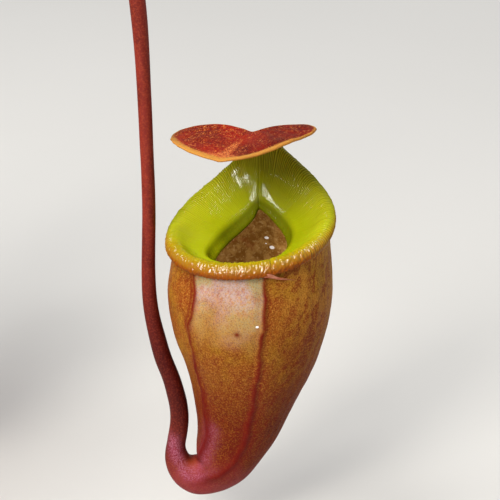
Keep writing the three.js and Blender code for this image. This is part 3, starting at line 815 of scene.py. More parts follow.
def row_amount(stations, amounts):
    """An amount for each row of the lip, given at some stations of its section."""
    return np.interp(row_marks, section_marks[stations], amounts)


def lip_noise(around, along, layer, every):
    """Smooth random numbers for the lip's rows and columns, drawn for every few columns."""
    drawn = [[noise.noise(Vector((share * around, row * along, layer)))
              for share in column_share[::every]] for row in range(LIP_ROWS)]
    return np.array(drawn).repeat(every, 1)


round_once = np.linspace(0, tau, 2001)
crest_marks = measured(in_mouth(lip_lines["crest"](round_once)))
column_share = np.arange(LIP_COLUMNS) / LIP_COLUMNS
column_angle = np.interp(column_share * crest_marks[-1], crest_marks, round_once)
section_marks = measured(in_mouth(lip_stations(np.array([pi / 2])))[:, 0])
row_marks = np.concatenate([
    np.linspace(start, end, rows, endpoint=False)
    for start, end, (rows, _) in zip(section_marks, section_marks[1:], LIP_STRETCHES)])
LIP_ROWS = len(row_marks)
smooth_lip = in_mouth(flowing(section_marks, lip_stations(column_angle), closed=True)(row_marks))
lip_facing = -unit(np.cross(*(
    np.roll(smooth_lip, -1, axis) - np.roll(smooth_lip, 1, axis) for axis in (0, 1))))

dice = random.Random(11)
ridge_size = np.array([dice.choice(RIDGE_SIZES) for _ in range(RIDGES)])
off_front = np.abs(from_front(column_angle))
closeness = np.concatenate([[0], np.cumsum(1 / np.interp(off_front, *RIDGE_PITCH))])
wander = np.array([
    0.8 * noise.noise(Vector((share * 24, 7, 0))) + 0.45 * noise.noise(Vector((share * 90, 2, 0)))
    for share in column_share])
wander = wander * np.minimum(1, np.minimum(column_share, 1 - column_share) * 60)
ridge_phase = closeness[:-1] / closeness[-1] * RIDGES + wander
ridge_crown = np.abs(np.sin(np.pi * ridge_phase)) ** 0.8 - 0.38
ridge_lift = ridge_crown * np.interp(ridge_phase, np.arange(RIDGES) + 0.5, ridge_size)
ridge_height = row_amount(range(16), [height for _, height in LIP_STRETCHES] + [0])
waviness = lip_noise(60, 0.12, 3, 4)
beads = BEAD_HEIGHT * lip_noise(185, 0.34, 8, 2) * ease(off_front, 1.5, 0.9)
on_roll = row_amount([0, 1, 3, 4, 5, 6], [0, 1, 1, 1, 0.3, 0])
from_cleft = from_front(column_angle - CLEFT_AT) * CLEFT_RADIUS
cleft = 0.25 * hump(from_cleft - 1.2, 0.8) - CLEFT_DEPTH * hump(from_cleft, 0.3)
at_cleft = row_amount([2, 3, 4, 5, 6], [0, 0.25, 1, 0.8, 0])
groove = -GROOVE_DEPTH * hump(column_angle - pi, GROOVE_WIDTH)
in_groove = row_amount([3, 4, 5, 7, 9, 10], [0, 0.5, 1, 1, 0.6, 0])
below_crest = row_amount([0, 3, 4], [1, 1, 0])[:, None]
evenness = 1.2 - (0.75 + 0.25 * below_crest) * ease(off_front, 1.25, 0.7)
lift = ridge_height[:, None] * ridge_lift * (1 + 0.5 * waviness) * evenness
lift = lift + on_roll[:, None] * (0.1 * waviness + beads)
lift = lift + in_groove[:, None] * groove + at_cleft[:, None] * cleft
ridged_lip = smooth_lip + lip_facing * lift[..., None]
lip_reach = row_amount([0, 2, 3, 4, 7, 9, 10], [1, 1, 0.8, 0.6, 0.2, 0, -0.2])
is_right = column_angle < pi
warm_width = 0.46 - np.where(
    is_right, 0.3 * ease(off_front, 0.9, 2.1), 0.34 * ease(off_front, 0.9, 1.9))

# Where nectar wets the slopes, to the left and to the right of the groove: a line and its width.
WET_LINES = [
    ([(146.3, -14.3, 109.4), (148.4, -15.8, 107.6), (150.2, -17.3, 106), (151.6, -18.7, 104.2)],
     4.6),
    ([(154.4, -18.8, 106.2), (156.4, -20.2, 104.9), (158.5, -21.8, 103.7), (160.4, -23.4, 102.8)],
     3.6),
]


def lip_cells(u, v):
    """The row and the column of the lip at each point of its sheet."""
    row, column = np.rint(v * LIP_ROWS).astype(int), np.rint(u * LIP_COLUMNS).astype(int)
    return row % LIP_ROWS, column % LIP_COLUMNS


def lip_marks(u, v, places):
    row, column = lip_cells(u, v)
    reach, back, right = lip_reach[row], off_front[column], is_right[column]
    width = warm_width[column]
    warm = ease(reach, 0.95 - width * 1.25, 1.0 - width * 0.55)
    # The ridges' crowns are painted lighter and their valleys darker: painted highlight and painted
    # shade.
    crown = (ridge_crown[column] - 0.12) * ease(reach, 0.1, 0.55) * ease(back, 0.5, 1.5)
    return {
        "warm": warm * (1 - 0.75 * ease(back, 2.2, 2.9)),
        "ridge": 0.5 + crown,
        # The lip is painted darker olive towards its top, under the lid: a painted shadow of the
        # lid.
        "olive": ease(places[:, 2], 99, 115) * (0.75 + 0.25 * right),
        "beaded": hump(reach - 0.73, 0.12) * ease(back, 1.45, 1.1),
        "wet": near_lines(places, WET_LINES),
        "deep": ease(reach, 0.64, 0.95) * ease(back, 2.6, 1.4),
        # The throat band below the crease is painted darker, except on the left in front: painted
        # shade.
        "inner": ease(reach, 0.26, 0.15) * (1 - ~right * ease(back, 1.75, 1.3)),
    }


lip = tissue("lip_enamel", Roughness=0.5, Specular_IOR_Level=0.04, Subsurface_Weight=0.06,
             Coat_Roughness=0.05)
ridge, warm, olive = lip.marked("ridge", "warm", "olive")
deep, inner, wet, beaded = lip.marked("deep", "inner", "wet", "beaded")
rolled = lip.painted(
    (150, 111, 3), (deep, (126, 62, 2)),
    (lip.grain(700, 3).step(0.55, 0.7) * 0.5, (146, 66, 4)))
enamel = lip.painted(
    (150, 157, 5), (lip.grain(160).step(0.35, 0.65) * 0.35, (163, 168, 12)),
    # Painted shade: the lid's shadow at the top of the lip, and the darker throat band.
    (olive, (106, 108, 0)), (inner * 0.8, (88, 92, 0)), (warm, rolled),
    # Painted shade in the ridges' valleys and painted highlight on their crowns.
    (ridge.step(0.4, 0.1) * 0.45, (112, 84, 2)), (ridge.step(0.6, 1.0) * 0.4, (196, 184, 48)))
lip.feed(enamel, Coat_Weight=0.07 + wet.step(0.25, 0.6) + beaded + 0.05 * warm)


def lip_shape(u, v):
    return ridged_lip[lip_cells(u, v)]


grown(rolled_sheet(LIP_COLUMNS, LIP_ROWS, lip_shape, lip_marks), "pitcher_lip_skin", [lip],
      "pitcher_lip", "pitcher_lip")

# The lid. A broad heart of firm tissue, red and freckled above, folded a little along its midline,
# with a thick pale margin. It grows from the neck at its notch and shields the mouth from rain.
LID_AT = (150.7, -14, 121.6)
LID_HALF, LID_WIDEST, LID_FRONT, LID_HEART = 19.7, 6.65, 26.6, 12.65
LID_RISE_LEFT, LID_RISE_RIGHT, LID_BULGE, LID_TIP_RISE = -0.04, 0.27, 0.7, 1
LID_TURN, LID_ROLL, LID_PITCH = radians(-16.5), radians(3.6), radians(-3)
# Its outline from above: how far from its heart, by degrees round from its front tip.
LID_OUTLINE = [
    (-180, 12.5), (-172, 12.9), (-160, 13.5), (-146, 15.2), (-132, 17.5), (-119, 19.3),
    (-106, 20.2), (-92, 19.9), (-77, 19.3), (-58, 19.0), (-37, 19.7), (-19, 20.1), (-2, 19.9),
    (13, 19.6), (27, 18.4), (42, 17.4), (58, 17.1), (76, 17.4), (90, 18.8), (103, 20.6),
    (115, 21.2), (125, 20.6), (136, 18.5), (149, 16.9), (162, 15.9), (172, 14.6), (180, 12.5)]
lid_degrees, lid_reaches = zip(*LID_OUTLINE)
lid_outline = flowing(np.radians(lid_degrees), lid_reaches, closed=True)
lid_turn = np.array(
    Matrix.Rotation(LID_TURN, 3, "Z") @ Matrix.Rotation(LID_ROLL, 3, "Y")
    @ Matrix.Rotation(LID_PITCH, 3, "X"))
# The section of the lid from the middle of its underside round its margin to the middle above:
# the share of the sheet, the share of the outline and the height.
LID_SECTION = np.array([
    (0, 0, -0.45), (0.14, 0.4, -0.45), (0.26, 0.75, -0.42), (0.36, 0.93, -0.5),
    (0.42, 0.985, -0.42), (0.46, 1.0, -0.05), (0.5, 0.985, 0.34), (0.56, 0.94, 0.42),
    (0.66, 0.8, 0.38), (0.85, 0.35, 0.42), (1, 0, 0.42)]).T


def on_lid(across, along, height):
    """A place on the folded and crowned lid, above its flat outline."""
    share = np.minimum(np.abs(across) / LID_HALF, 1)
    reach = share_of(along, LID_WIDEST, LID_FRONT)
    softness = 0.8 + 9 * ease(along, 16, 31)
    fold = np.sqrt(across ** 2 + softness) - np.sqrt(softness)
    fold = fold * np.where(across < 0, LID_RISE_LEFT, LID_RISE_RIGHT)
    crown = LID_BULGE * np.sin(share * pi) + LID_TIP_RISE * reach ** 2
    return np.stack([across, -along, height + fold + crown], -1) @ lid_turn.T + LID_AT


def lid_flat(u, v):
    angle = u * tau - pi
    share = np.interp(v, *LID_SECTION[:2])
    reach = lid_outline(angle) * share * (0.985 + 0.004 * np.sin(angle * 23) * share)
    return np.sin(angle) * reach, LID_HEART + np.cos(angle) * reach, share


def lid_shape(u, v):
    across, along, share = lid_flat(u, v)
    height = np.interp(v, LID_SECTION[0], LID_SECTION[2])
    flat = np.stack([across, along, across * 0], -1)
    veins = 0.1 * np.cos(np.arctan2(across, along + 2) * 26)
    veins = veins * ease(share, 0.1, 0.5) * (1 - ease(share, 0.8, 0.96))
    pits = 0.05 * ripple(flat, 0.8, 6) * ease(v, 0.56, 0.66)
    keel = -0.35 * hump(across, 0.7) * (1 - ease(share, 0.9, 1)) * np.where(v < 0.45, 1, 0.3)
    wave = 0.3 * np.sin(u * tau * 3 + 0.7) * share ** 3 + 0.25 * ripple(flat, 9, 4)
    droop = (
        0.25 * ease(share, 0.9, 1.0) * ease(along, 20, 31) * ease(across, 4, -2)
        + 0.5 * ease(share, 0.72, 1.0) * ease(across, 2, 9) * ease(along, 7, 15)
        + 0.5 * hump(across + 1, 6) * ease(along, 7, 0))
    relief = (veins + pits) * np.where(v > 0.5, 1, -1)
    return on_lid(across, along, 0.3 + height + relief + keel + wave - droop)


def lid_marks(u, v, places):
    across, along, share = lid_flat(u, v)
    rim = np.maximum(0.8 * ease(share, 0.93, 0.98), ease(v, 0.53, 0.44))
    tip = 0.9 * ease(along, 24, 31) * hump(across, 5)
    return {
        "margin": np.maximum(ease(share, 0.84, 0.985) * ease(along, 10, 20), rim),
        "midline": hump(across, 1.3) * (0.25 + 0.75 * ease(along, 8, 22)) + tip,
        # right: the lid's right side, which is darkened as painted shade
        "under": ease(v, 0.46, 0.4), "right": ease(across, -3, 9),
    }


lid = tissue("lid_skin", Roughness=0.55, Specular_IOR_Level=0.05)
net = lid.grain(2600, 2, 0.7, 1.0, stretch=(1, 0.45, 0.4), turn=(0, 0, 0.3))
freckle = lid.grain(520, 3, 0.65, stretch=(1, 0.6, 0.5))
patches = lid.grain(120, stretch=(1, 0.5, 1))
margin, midline, under = lid.marked("margin", "midline", "under")
skin = lid.painted(
    (98, 8, 0), (patches.step(0.36, 0.6), (136, 15, 0)),
    (net.step(0.46, 0.6) * 0.5, (182, 64, 16)),
    (net.step(0.54, 0.64) * freckle.step(0.42, 0.58) * 0.85, (216, 134, 64)))
# Painted shade darkens the lid's right side; then its midline, margin and underside are coloured.
skin = lid.painted(
    lid.painted_shade(skin, lid.marked("right"), (0.55, 0.5, 0.62)),
    (midline.step(0.15, 0.9) * net.step(0.38, 0.56) * 0.85, (214, 120, 58)),
    ((margin * (0.5 + net)).step(0.25, 0.95), (178, 122, 52)),
    (under * 0.9, lid.painted((168, 66, 14), (freckle.step(0.35, 0.65), (204, 126, 34)))))
lid.feed(skin, net + freckle, 0.15 * MM)
grown(rolled_sheet(320, 120, lid_shape, lid_marks), "pitcher_lid_skin", [lid],
      "pitcher_lid", "pitcher_lid")


# The lid's neck and spur. The neck rises from the back of the lip and carries the lid; the spur
# is the true tip of the leaf, a fine curved thread behind the hinge. Both grow from the pitcher.
def shoot_sheet(columns, rows, shoot, front, swell=None, marks=None):
    """A round shoot with rounded ends, from its curve and its length; swell(u, v) thickens it."""
    curve, length = shoot

    def shape(u, v):
        reach = v * length
        here = curve(reach)
        ends = np.minimum(np.minimum(reach, length - reach) / np.maximum(here[:, 3], 0.05), 1)
        radius = here[:, 3] + (swell(u, v) if swell else 0)
        radius = radius * np.sqrt(np.clip(1 - (1 - ends) ** 2, 0, 1))
        outward = outwards(heading(curve, reach, 0.02), front, u * tau)
        return here[:, :3] + outward * radius[:, None]

    return rolled_sheet(columns, rows, shape, marks)


def neck_folds(u, v):
    return 0.12 * np.cos(u * tau * 9) * np.sin(v * pi)


# Their stations: right, forward and up from the middle of the mouth, and the radius.
NECK = np.array([(0, -22.6, 9.5, 1.0), (0, -22.4, 13, 1.7), (0, -21.2, 15.8, 1.9),
                 (0, -19, 17.9, 1.7), (0, -16.4, 19.5, 1.3)])
SPUR = np.array([(0, -21.4, 15.6, 0.75), (0.3, -23.8, 16.2, 0.6), (0.9, -26.0, 15.6, 0.45),
                 (1.6, -27.4, 13.8, 0.36), (2.2, -27.8, 11.6, 0.22)])
neck_shoot, spur_shoot = (shoot_through(in_mouth(line), line[:, 3]) for line in (NECK, SPUR))
neck = tissue("neck_skin", Roughness=0.4)
mottle = neck.grain(500, 3)
neck.feed(neck.painted((150, 150, 40), (mottle.step(0.35, 0.65), (168, 104, 46))),
          mottle, 0.1 * MM)
grown(shoot_sheet(64, 60, neck_shoot, TO_THE_FRONT, neck_folds), "lid_neck_skin", [neck],
      "lid_neck", "lid_neck")
grown(shoot_sheet(20, 40, spur_shoot, UP), "lid_spur", [neck], "lid_neck")

# The fluid. The cup's lower half holds a clear brown digestive fluid, level on top, that climbs
# a little where it wets the wall.
FLUID_LEVEL, FLUID_BOTTOM, FLUID_CREEP = 52, HOLLOW_BOTTOM + 0.8, 0.9
FLUID_INSET = WALL + 0.1
TOP_SHARE, WALL_SHARE = 0.4, 0.95  # of the sheet on top, and of the rest on the wall
fluid_angles = np.linspace(0, tau, 97)
climb = np.linspace(CUP_START + 30, CUP_SHOULDER, 160)
level_reach = np.array([
    np.interp(FLUID_LEVEL, rings(climb, np.full_like(climb, angle), FLUID_INSET)[0][:, 2], climb)
    for angle in fluid_angles])
middle_of_top = rings(level_reach, fluid_angles, FLUID_INSET)[0].mean(0)


def fluid_shape(u, v):
    angle = u * tau
    reach = np.interp(angle, fluid_angles, level_reach)
    share = share_of(v, 0, TOP_SHARE)
    top = between(middle_of_top, rings(reach, angle, FLUID_INSET)[0], share[:, None])
    top[:, 2] += FLUID_CREEP * ease(share, 0.9, 1.0) ** 2
    down = share_of(v, TOP_SHARE, 1 - TOP_SHARE)
    low = between(reach, FLUID_BOTTOM, share_of(down, 0, WALL_SHARE))
    core = spine(low)[:, :3]
    side = between(rings(low, angle, FLUID_INSET)[0], core, ease(down, WALL_SHARE, 1.0)[:, None])
    side[:, 2] += FLUID_CREEP * (1 - ease(down, 0, 0.08))
    return np.where((v <= TOP_SHARE)[:, None], top, side)


fluid = Finish("pitcher_fluid", Roughness=0.03, IOR=1.33, Transmission_Weight=0.55)
fluid.feed(fluid.painted((120, 84, 34), (fluid.grain(60), (146, 108, 52))))
grown(rolled_sheet(96, 60, fluid_shape), "pitcher_fluid_body", [fluid],
      "pitcher_fluid", "pitcher_fluid")

# The leaf blades. Leathery straps, glossy above and paler below, troughed along a stout midrib.
# The oldest sit lowest. Each one clasps the stem with the foot of its winged stalk.
FRESH_FROM = 7  # the number of the first leaf that is still young
# Number: azimuth, height on the stem, length, width, slope at the stem and at the tip.
LEAVES = {
    1: (156, 97, 112, 30, 48, -38), 2: (-66, 104, 108, 29, 52, -34), 3: (71, 111, 106, 29, 55, -32),
    4: (208, 118, 114, 30, 60, -30), 5: (-14, 127, 113, 28, 72, -2), 6: (124, 133, 96, 25, 66, -16),
    7: (-99, 138.5, 84, 22, 70, 0), 8: (38, 143, 62, 16, 76, 30),
}
BLADE_TROUGH, BLADE_STALK = 0.16, 0.16


def blade_frame(azimuth, base, length, width, rise, dip):
    points = midrib(azimuth, base, length, rise, dip)
    out = level_way(azimuth)
    return flowing(measured(points) / length, points), np.cross(UP, out), out


def blade_across(u):
    """-1 to 1 across the blade, over its top and back below it."""
    return np.where(u < 0.5, 4 * u - 1, 3 - 4 * u)


def blade_sheet(number):
    curve, side, _ = blade_frame(*LEAVES[number])
    length, width = LEAVES[number][2:4]

    def shape(u, v):
        t = np.clip(v, 0.0005, 0.9995)
        ahead = unit(curve(np.minimum(t + 0.004, 1)) - curve(np.maximum(t - 0.004, 0)))
        swell = np.sin(pi * t ** 1.25) ** 0.8
        half = width / 2 * between(BLADE_STALK, 1, swell * (1 - 0.12 * t))
        half = half * np.sqrt(np.clip(np.minimum(v * 40, (1 - v) * 60), 0, 1))
        across = np.sign(blade_across(u)) * np.abs(blade_across(u)) ** 0.9
        wave = 0.72 * np.sin(t * 21 + number * 2 + across) * across ** 2
        wave = (wave + 0.96 * np.sin(t * 7 + number) * across ** 3) * swell
        trough = half * BLADE_TROUGH * (0.2 * np.abs(across) + 0.8 * across ** 2)
        thin = 0.42 * np.sqrt(np.clip(1 - across ** 2, 0, 1)) + 0.05
        veins = 0.11 * np.cos(across * 22) * swell * (1 - across ** 4)
        crease = -0.5 * hump(across * half, 0.7)
        keel = -1.15 * hump(across * half, 0.95) * (1 - 0.5 * t)
        flat = np.column_stack([across * half, t * length, t * 0 + number])
        puckers = 0.22 * ripple(flat, 5, number) * swell
        height = trough + wave + puckers + veins + np.where(u < 0.5, thin + crease, keel - thin)
        height = height * np.minimum(1, 60 * (1 - t))
        return (curve(t) + side * (across * half)[:, None]
                + np.cross(ahead, side) * height[:, None])

    def marks(u, v, places):
        return {"across": np.abs(blade_across(u)), "below": (u > 0.5) * 1.0, "run": v}

    return rolled_sheet(72, 150, shape, marks)


def leaf_green(name, fresh):
    """Leaf tissue with side veins; fresh is 0 for an old leaf and 1 for one just opened."""
    finish = tissue(name, Roughness=0.33, Subsurface_Weight=0.08)
    across, run, below = finish.marked("across", "run", "below")
    fine, clouds = finish.grain(900, 3, 0.6), finish.grain(55, 3)
    side_veins = (run * 260 - across * 9 + clouds * 3).wave().step(0.72, 1.0)
    long_veins = (across * 22).wave().step(0.9, 1.0)
    green = finish.painted(
        (58 + 30 * fresh, 98 + 22 * fresh, 30),
        (clouds.step(0.35, 0.65), (88 + 30 * fresh, 126 + 14 * fresh, 40)),
        (side_veins * 0.22 + long_veins * 0.28, (134, 160, 74)),
        (fine.step(0.55, 0.75) * 0.3, (46, 78, 26)),
        (across.step(0.1, 0.03) * 0.8, (164, 166, 84)),
        (across.step(0.93, 1.0) * 0.7, (128, 58, 40)),
        (run.step(0.9, 1.0) * 0.8, (134, 60, 46)), (below * 0.55, (136, 150, 84)))
    return finish.feed(green, fine + 0.7 * side_veins, 0.2 * MM,
                       Roughness=0.3 + 0.18 * fine + 0.12 * below)


old_green, young_green = leaf_green("leaf_skin", 0.0), leaf_green("fresh_leaf_skin", 0.8)
for number in LEAVES:
    green = young_green if number >= FRESH_FROM else old_green
    grown(blade_sheet(number), f"leaf_blade_{number}_skin", [green], "leaf",
          f"leaf_blade_{number}")

# The other tendrils. Each is a wiry shoot, drawn out from the tip of its blade; it drops, curls
# up at its end and sways to one side on the way. The midrib runs on into it.
TENDRIL_SIZE = {1: 0.95, 2: 0.8, 3: 1.0, 4: 1.15, 6: 0.6, 7: 0.45, 8: 0.3}
TENDRIL_LINE = [(0, 0), (8, -5), (13, -17), (14, -32), (10, -45), (3, -50), (-3, -46), (-5, -38)]
TENDRIL_RADII, TENDRIL_LEAD, TENDRIL_SWAY = (0.5, 1.6, 1.1), 6, 6


def tendril_line(number, size):
    """The points of a tendril, from inside the tip of its blade to its end."""
    curve, side, out = blade_frame(*LEAVES[number])
    slope = radians(LEAVES[number][5])
    onward = out * cos(slope) + UP * sin(slope)
    tip = curve(1.0) + onward * 0.6
    lead = tip + onward * TENDRIL_LEAD * size
    sway = side * (TENDRIL_SWAY if number % 2 == 0 else -TENDRIL_SWAY)
    rest = [
        lead + (out * outward + UP * up + sway * sin(i / len(TENDRIL_LINE) * pi)) * size
        for i, (outward, up) in enumerate(TENDRIL_LINE)]
    return np.array([curve(0.94), tip, *rest]), side


def knobs(u, v):
    return 0.05 * np.sin(v * 160 + 2 * np.sin(u * tau)) + 0.05 * np.cos(u * tau * 4)


wire = tissue("tendril_wire_skin", Roughness=0.42)
fine = wire.grain(1200)
wire.feed(
    wire.painted(
        (142, 66, 42), (wire.grain(90).step(0.4, 0.62), (150, 120, 52)),
        (fine.step(0.5, 0.7) * 0.5, (108, 38, 30))),
    fine, 0.1 * MM)
tendril_ends = {}
for number, size in TENDRIL_SIZE.items():
    points, side = tendril_line(number, size)
    last = len(points) - 1
    thickness = np.interp(np.arange(last + 1), [0, 1, last], TENDRIL_RADII)
    shoot = curve, length = shoot_through(points, thickness)
    tendril_ends[number] = points[-1], unit(curve(length)[:3] - curve(length - 0.5)[:3])
    grown(shoot_sheet(24, 150, shoot, side, knobs), f"tendril_{number}_skin", [wire], "tendril",
          f"tendril_{number}")

# The closed pitchers. Small flattened cups, still sealed by their lids, with two downy ribs in
# front. They swell on the ends of their tendrils before they open.
BUD_LENGTH = {1: 24, 3: 20, 4: 30}
BUD_OUTLINE = [(0, 0.34), (0.12, 0.72), (0.3, 1.05), (0.5, 1), (0.7, 1.1), (0.85, 1.2),
               (0.95, 0.85), (1, 0.35)]
BUD_SLENDERNESS, BUD_RIB_AT, SEAM_AT, SEAM_TILT = 0.13, 0.45, 0.8, 0.07
bud_radius = flowing(*np.array(BUD_OUTLINE).T)


def bud_lines(u, v):
    """The angle of each place, how far it lies above the lid's seam, and how far from a rib."""
    angle = u * tau
    return angle, v - SEAM_AT - SEAM_TILT * np.cos(angle), np.abs(from_front(angle)) - BUD_RIB_AT


def bud_sheet(number):
    foot, tangent = tendril_ends[number]
    length = BUD_LENGTH[number]
    along = unit(between(tangent, UP, 0.7))

    def shape(u, v):
        angle, from_seam, from_rib = bud_lines(u, v)
        radius = np.clip(bud_radius(v), 0, 2) * length * BUD_SLENDERNESS
        ends = np.clip(np.minimum(v / 0.03, (1 - v) / 0.05), 0, 1)
        radius = radius * np.sqrt(1 - (1 - ends) ** 2)
        rib = 0.09 * hump(from_rib, 0.09) * ease(v, 0.1, 0.3) * ease(v, 0.86, 0.8)
        seam = 0.05 * hump(from_seam + 0.03, 0.02) - 0.16 * hump(from_seam, 0.008)
        flat = 0.95 * (1 - 0.1 * np.cos(angle) ** 2)
        radius = radius * (flat + rib + seam) + 0.03 * np.cos(angle * 30) * ease(v, 0.3, 0.5)
        outward = outwards(along, np.array([1.0, 0, 0]), angle)
        middle = foot - tangent * 0.7 + along * (v * length)[:, None]
        return middle + outward * radius[:, None]

    def marks(u, v, places):
        _, from_seam, from_rib = bud_lines(u, v)
        return {
            "lid": ease(from_seam, -0.004, 0.004), "run": v, "rim": hump(from_seam + 0.03, 0.022),
            "rib": hump(from_rib, 0.12) * ease(v, 0.1, 0.3)}

    return rolled_sheet(112, 180, shape, marks)


bud = tissue("closed_pitcher_skin", Roughness=0.42)
fine, blotch = bud.grain(1500, 3), bud.grain(330, 3, stretch=(1, 1, 0.6))
skin = bud.painted(
    (142, 74, 46), (bud.marked("run").step(0.1, 0.7), (160, 148, 64)),
    (blotch.step(0.5, 0.62) * 0.7, (140, 58, 36)), (fine.step(0.5, 0.7) * 0.35, (186, 160, 90)),
    (bud.marked("rim") * 0.8, (168, 170, 44)), (bud.marked("lid") * 0.75, (156, 62, 36)),
    (bud.marked("rib") * 0.7, (132, 44, 34)))
bud.feed(skin, fine, 0.15 * MM)
for number in BUD_LENGTH:
    grown(bud_sheet(number), f"closed_pitcher_{number}_skin", [bud], "closed_pitcher",
          f"closed_pitcher_{number}")

# The stem and the newest leaf. The stem is short and upright, ringed where leaves clasp it and
# brown and scarred near the medium. At its top the next leaf is still rolled up like a scroll.
STEM_HEIGHTS = [STEM_BOTTOM, MEDIUM_TOP, 95, 107, 119, 131, 141, STEM_TOP]
SCARS = (86.5, 89.8, 93.2)
stem_shoot = shoot_through(
    [stem_middle(z) for z in STEM_HEIGHTS], [stem_radius(z) for z in STEM_HEIGHTS])


def stem_swell(u, v):
    """The rings where the leaves clasp the stem, and the scars below them."""
    height, angle = between(STEM_BOTTOM, STEM_TOP, v), u * tau
    swell = 0.1 * np.cos(angle * 3 + height * 0.2)
    swell = swell + 0.12 * np.sin(height * 2.3) * ease(height, 108, 92)
    for azimuth, base, *_ in LEAVES.values():
        turn = np.cos(angle - radians(azimuth + 90))
        swell = swell + hump(height - base + 2.6 - 1.2 * turn, 0.75) * (0.34 + 0.22 * turn)
    for scar in SCARS:
        swell = swell + 0.45 * hump(height - scar - 0.6 * np.sin(angle + scar), 0.6)
    return swell


def stem_marks(u, v, places):
    return {"height": (places[:, 2] - MEDIUM_TOP) / (STEM_TOP - MEDIUM_TOP)}


stem = tissue("stem_skin", Roughness=0.5)
fine = stem.grain(700, 3, stretch=(1, 1, 0.3))
skin = stem.painted(
    (110, 122, 48), (fine.step(0.35, 0.7), (142, 128, 66)),
    ((stem.marked("height") + fine * 0.2).step(0.42, 0.2),
     stem.painted((84, 56, 34), (fine, (126, 96, 64)))))
stem.feed(skin, fine, 0.4 * MM)
grown(shoot_sheet(48, 300, stem_shoot, TO_THE_FRONT, stem_swell, stem_marks), "stem_skin", [stem],
      "stem", "stem")

SCROLL_LENGTH, SCROLL_RADIUS, SCROLL_TIP, SCROLL_LEAN = 42, 2.2, 0.5, np.array([-3, 3, 0])
share = np.linspace(0, 1, 7)
scroll_shoot = shoot_through(
    stem_middle(STEM_TOP) + UP * 0.3 + np.outer(share ** 2, SCROLL_LEAN)
    + np.outer(share, UP) * SCROLL_LENGTH, between(SCROLL_RADIUS, SCROLL_TIP, share))


def scroll_swell(u, v):
    """The lap of the rolled blade winds up the scroll as a step in its outline."""
    lap = np.mod(u - 0.9 * v, 1)
    step = 0.28 * (lap - 0.5) - 0.3 * hump(np.minimum(lap, 1 - lap), 0.03)
    return step * (1 - 0.6 * v) + 0.04 * np.cos(u * tau * 12)


scroll = tissue("rolled_leaf_skin", Roughness=0.36)
fine = scroll.grain(900, 3, stretch=(1, 1, 0.25))
skin = scroll.painted((128, 154, 54), (fine, (168, 184, 86)))
skin = scroll.painted(skin, (scroll.marked("run").step(0.72, 1.0) * 0.8, (152, 74, 50)))
scroll.feed(skin, fine, 0.2 * MM)
grown(shoot_sheet(64, 160, scroll_shoot, TO_THE_FRONT, scroll_swell, run_mark),
      "growing_tip_skin", [scroll], "young_leaf", "growing_tip")

# The pot. Red earthenware, thrown on a wheel and fired unglazed, with a thick band at the rim and
# three drain holes in its floor. Salts from the water bloom white on its wall.
POT_PROFILE = [
    (0, 0.9), (31, 0.9), (33, 0), (37, 0), (38, 0.9), (43.5, 34), (48.8, 66.6), (49.3, 67.7),
    (54.4, 67.9), (55.2, 68.8), (56.3, 90), (56.1, 91.6), (54.8, 92), (52.6, 91.9), (51.4, 90.6),
    (47.6, 76), (44, 63), (38.5, 34), (33.4, 8), (31.4, 6.2), (29, 6), (0, 6)]
FOOT_RADIUS = 34  # the flat foot and the floor within it are smooth
DRAIN_HOLES, DRAIN_RADIUS, DRAIN_CIRCLE = 3, 4.5, 21

pot_wall = turned(POT_PROFILE, 160)
upright = [
    edge for edge in pot_wall.edges if abs(edge.verts[0].co.z - edge.verts[1].co.z) > 3 * MM]
bmesh.ops.subdivide_edges(pot_wall, edges=upright, cuts=11, use_grid_fill=True)
for vert in pot_wall.verts:
    x, y, z = vert.co / MM
    radius, angle = hypot(x, y), atan2(y, x)
    if radius > FOOT_RADIUS:
        throwing = 0.16 * sin(z * 1.9 + angle) + 0.1 * sin(z * 0.7 + 2 * angle)
        dents = noise.noise(Vector((2 * cos(angle), 2 * sin(angle), z / 22)))
        vert.co.xy *= 1 + (throwing * 0.6 + 0.3 * dents - 0.25) / radius
drills = bmesh.new()
for i in range(DRAIN_HOLES):
    angle = i / DRAIN_HOLES * tau + pi / 2
    at = Vector((DRAIN_CIRCLE * cos(angle), DRAIN_CIRCLE * sin(angle), 3)) * MM
    bmesh.ops.create_cone(drills, cap_ends=True, segments=32, radius1=(DRAIN_RADIUS + 0.4) * MM,
                          radius2=DRAIN_RADIUS * MM, depth=16 * MM, matrix=Matrix.Translation(at))
pot, drill = cast(pot_wall, "clay_pot"), cast(drills, "drills")
cut = pot.modifiers.new("drain_holes", "BOOLEAN")
cut.object = drill
cut.solver = "EXACT"
drilled = bpy.data.meshes.new_from_object(
    pot.evaluated_get(bpy.context.evaluated_depsgraph_get()))
pot.modifiers.clear()
pot.data = drilled
bpy.data.objects.remove(drill)

clay = Finish("terracotta", Roughness=0.85, Specular_IOR_Level=0.3)
fine, clouds = clay.grain(700, 4, 0.65), clay.grain(26, 4, 0.6)
throwing_rings = clay.grain(18, 3, stretch=(1, 1, 30))
bloom_edge = clay.grain(42, 5, 0.6, 0.3, stretch=(1, 1, 1.4))
height = clay.node("SeparateXYZ", {}, {"Vector": clay.where()}, "Z")
body = clay.painted(
    (170, 96, 62), (clouds.step(0.35, 0.65), (192, 116, 78)),
    (throwing_rings.step(0.45, 0.7) * 0.35, (150, 80, 52)),
    (fine.step(0.58, 0.72) * 0.4, (206, 146, 108)),
    ((bloom_edge + (height * -9 + 0.55) * 0.45).step(0.56, 0.78) * 0.42, (212, 192, 172)),
    ((height * 1000).step(3.5, 0.5) * 0.5, (112, 72, 52)))
clay.feed(body, fine + 0.5 * throwing_rings, 0.5 * MM, Roughness=0.78 + 0.15 * fine)
drilled.materials.clear()
drilled.materials.append(clay.material)
drilled.shade_smooth()
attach(pot, "root")
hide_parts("pot")

